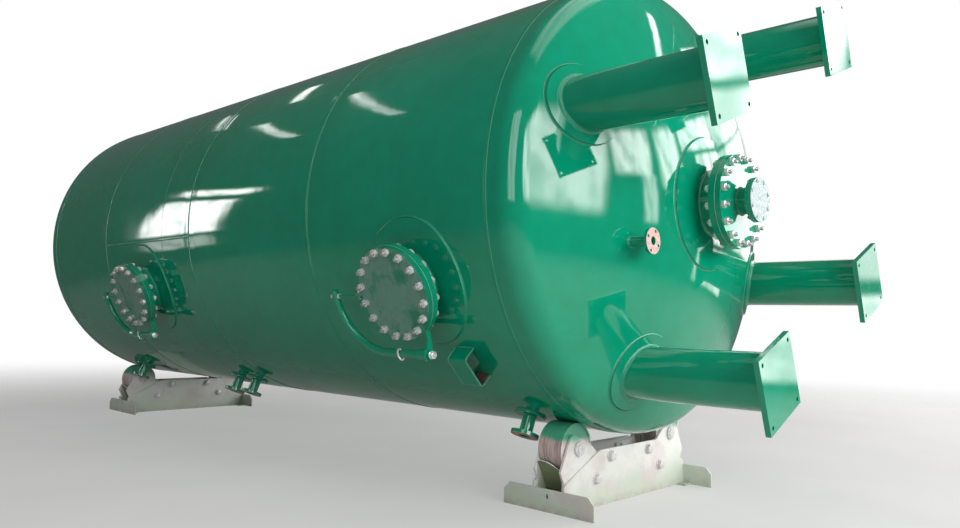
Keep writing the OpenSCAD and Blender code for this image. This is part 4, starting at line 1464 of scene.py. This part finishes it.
@dataclass
class Studio:
    """Camera at the photograph's place, soft lamps, a pale floor and a white world."""

    camera_at: Vec = (3.0455, -4.6571, 1.1875)
    yaw: float = -43.109
    pitch: float = 4.004
    roll: float = 1.364
    lens: float = 29.283
    mirrored: float = 0.05
    floor_lift: float = 0.34
    floor_colour: Vec = (0.56, 0.54, 0.52)
    floor_light: Vec = (0.62, 0.60, 0.58)
    floor_at: Vec = (-2.0, -1.0, -0.0005)
    floor_fade: Pair = (5.0, 15.0)
    floor_rings: tuple[float, ...] = (0.0, 4.0, 8.0, 15.5)
    sky_colour: Vec = (0.90, 0.95, 1.0)
    sky_glow: float = 0.070
    sensor: float = 36.0
    panel_off: float = 12.0
    head_aim: Vec = (0.4, -0.6, 2.0)
    shell_aim: Vec = (-3.0, -1.5, 2.0)
    top_h: float = 10.0
    top_glow: float = 3.2
    top_fade: float = 0.3

    def camera(self) -> None:
        """Sets the camera from its yaw, pitch and roll."""
        y, p, r = (math.radians(v) for v in (self.yaw, self.pitch, self.roll))
        ahead = np.array([math.cos(p) * math.sin(y), math.cos(p) * math.cos(y), math.sin(p)])
        level = np.array([math.cos(y), -math.sin(y), 0.0])
        right = level * math.cos(r) + np.cross(level, ahead) * math.sin(r)
        up = np.cross(right, ahead)
        data = bpy.data.cameras.new("view")
        data.lens, data.sensor_width = self.lens, self.sensor
        data.clip_start, data.clip_end = 0.05, 200.0
        obj = bpy.data.objects.new("view", data)
        axes = Matrix([[right[i], up[i], -ahead[i]] for i in range(3)])
        obj.matrix_world = Matrix.Translation(self.camera_at) @ axes.to_4x4()
        bpy.context.scene.collection.objects.link(obj)
        bpy.context.scene.camera = obj

    def lamp(
        self, name: str, at: Vec | Array, aim: Vec, size: Pair, glow: float, fade: float, lean: float = 0.0
    ) -> None:
        """Adds a soft rectangular lamp that the camera doesn't see.

        Its power is pi times its radiance times its area.

        Args:
            name: name of the lamp.
            at: its middle.
            aim: the point that it faces.
            size: width and height.
            glow: its radiance, as bright as a white surface in full light where it is 1.
            fade: width of the dim border along its edges.
            lean: how far it is turned in its own plane, in degrees.
        """
        data = bpy.data.lights.new(name, "AREA")
        data.shape, data.size, data.size_y = "RECTANGLE", *size
        data.energy = math.pi * glow * size[0] * size[1]
        obj = bpy.data.objects.new(name, data)
        back = unit(np.array(at) - np.array(aim))
        level = np.array(UP if abs(back[2]) < 0.98 else LEFT)
        side = unit(np.cross(level, back))
        high = np.cross(back, side)
        c, n = math.cos(math.radians(lean)), math.sin(math.radians(lean))
        axes = Matrix(np.stack([side * c + high * n, high * c - side * n, back], 1).tolist())
        obj.matrix_world = Matrix.Translation(at) @ axes.to_4x4()
        obj.visible_camera = False
        bpy.context.scene.collection.objects.link(obj)
        self.soften(data, fade)

    def soften(self, data: bpy.types.AreaLight, fade: float) -> None:
        """Lets a lamp's glow fade near its edges and vary in broad streaks."""
        data.use_nodes = True
        t = Tree(data.node_tree)
        spot = t.tree.nodes.new("ShaderNodeNewGeometry").outputs["Parametric"]
        glow: object = 1.0
        for axis, length in enumerate((data.size, data.size_y)):
            at = t.node("ShaderNodeSeparateXYZ", {0: spot}, output=axis)
            edge = t.sums("MINIMUM", at, t.sums("SUBTRACT", 1.0, at))
            glow = t.sums("MULTIPLY", glow, t.span(edge, 0.0, min(0.45, fade / length), soft=True))
        spread = t.node("ShaderNodeMapping", {"Vector": spot, "Scale": (4.5, 1.6, 1.0)})
        cloud = t.node("ShaderNodeTexNoise", {"Vector": spread, "Scale": 1.0, "Detail": 4.0})
        glow = t.sums("MULTIPLY", glow, t.span(cloud, 0.38, 0.56, (0.6, 1.1), True))
        shine = t.node("ShaderNodeEmission", {"Strength": glow})
        out = t.tree.nodes.new("ShaderNodeOutputLight")
        t.tree.links.new(shine, out.inputs[0])

    def panel(self, view: Panel, aim: Vec) -> None:
        """Adds the lamp that fills a panel of the view from a point."""
        far = self.panel_off
        a, e = (math.radians(sum(pair) / 2) for pair in (view.azimuth, view.rise))
        way = np.array([math.cos(e) * math.cos(a), math.cos(e) * math.sin(a), math.sin(e)])
        wide = 2 * far * math.tan(math.radians(view.azimuth[1] - view.azimuth[0]) / 2) * math.cos(e)
        high = 2 * far * math.tan(math.radians(view.rise[1] - view.rise[0]) / 2)
        at = np.array(aim) + far * way
        self.lamp(view.name, at, aim, (wide, high), view.glow, view.fade, view.lean)

    def seen(self, t: Tree) -> Socket:
        """How much of the white shows: all of it to the camera and through glass, little of it in gloss."""
        path = t.tree.nodes.new("ShaderNodeLightPath").outputs
        clear = t.sums("MAXIMUM", path["Is Camera Ray"], path["Is Transmission Ray"])
        return t.sums("MAXIMUM", clear, t.sums("MULTIPLY", path["Is Glossy Ray"], self.mirrored))

    def world(self) -> None:
        """White behind the object, dimmer in its reflections, and a soft grey sky for its light."""
        world = bpy.data.worlds.new("soft_sky")
        world.use_nodes = True
        t = Tree(world.node_tree)
        out = t.tree.nodes.new("ShaderNodeOutputWorld")
        white = t.node("ShaderNodeBackground", {0: (1.0, 1.0, 1.0), 1: 1.0})
        sky = t.node("ShaderNodeBackground", {0: self.sky_colour, 1: self.sky_glow})
        t.tree.links.new(t.blend(self.seen(t), sky, white), out.inputs[0])
        bpy.context.scene.world = world

    def floor(self) -> None:
        """Pale floor with a faint cloudy tone, that thins out into the white behind it."""
        g = Graph("pale_floor")
        colour = g.mix(g.span(g.noise(0.6, 6.0), 0.35, 0.65), self.floor_colour, self.floor_light)
        g.done(Base_Color=colour, Roughness=0.7)
        away = g.node("ShaderNodeVectorMath", {0: g.object_at}, output=1, operation="LENGTH")
        clear = g.tree.nodes.new("ShaderNodeBsdfTransparent")
        white = g.node("ShaderNodeEmission", {"Strength": 1.0})
        lift = g.sums("MULTIPLY", self.seen(g), self.floor_lift)
        lifted = g.blend(lift, g.shader.outputs[0], white)
        both = g.blend(g.span(away, *self.floor_fade, soft=True), lifted, clear.outputs[0])
        g.tree.links.new(both, g.out.inputs[0])
        r = np.array(self.floor_rings)[:, None]
        t = full_turn(48)
        form = surface(np.stack([r * np.cos(t), r * np.sin(t), 0 * r * t], 2))
        mesh = bpy.data.meshes.new("floor")
        mesh.from_pydata(form.points.tolist(), [], form.faces[:, ::-1].tolist())
        mesh.materials.append(g.material)
        obj = bpy.data.objects.new("floor", mesh)
        obj.location = self.floor_at
        bpy.context.scene.collection.objects.link(obj)

    def build(self) -> None:
        """Makes the whole studio."""
        self.camera()
        self.world()
        self.floor()
        for view in HEAD_PANELS:
            self.panel(view, self.head_aim)
        for view in SHELL_PANELS:
            self.panel(view, self.shell_aim)
        for i, (x, y, wide, deep) in enumerate(TOP_PANELS, 1):
            down, size = (x, y, 0.0), (wide, deep)
            self.lamp(f"top_panel_{i}", (x, y, self.top_h), down, size, self.top_glow, self.top_fade)
        self.lamp("top_fill", (0.9, -0.4, 9.5), (-0.6, -0.4, 0.0), (5.5, 8.0), 1.35, 1.0)
        self.lamp("back_fill", (-2.0, 9.0, 5.0), (-3.0, 0.0, 2.0), (9.0, 4.0), 1.2, 0.5)


def main() -> None:
    """Dresses the tank and its rolls, and makes the studio."""
    logging.basicConfig(level=logging.INFO, format="%(message)s")
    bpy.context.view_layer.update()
    bpy.context.scene.view_settings.view_transform = "Standard"
    finishes = Finishes()
    Shell(finishes).dress()
    Manhole(finishes, 1, Body.COVER_1).dress()
    Manhole(finishes, 2, Body.COVER_2).dress()
    LegHead(finishes).dress()
    Underside(finishes).dress()
    for number in (1, 2):
        TurningRoll(finishes, number).dress()
    Studio().build()


if __name__ == "__main__":
    main()
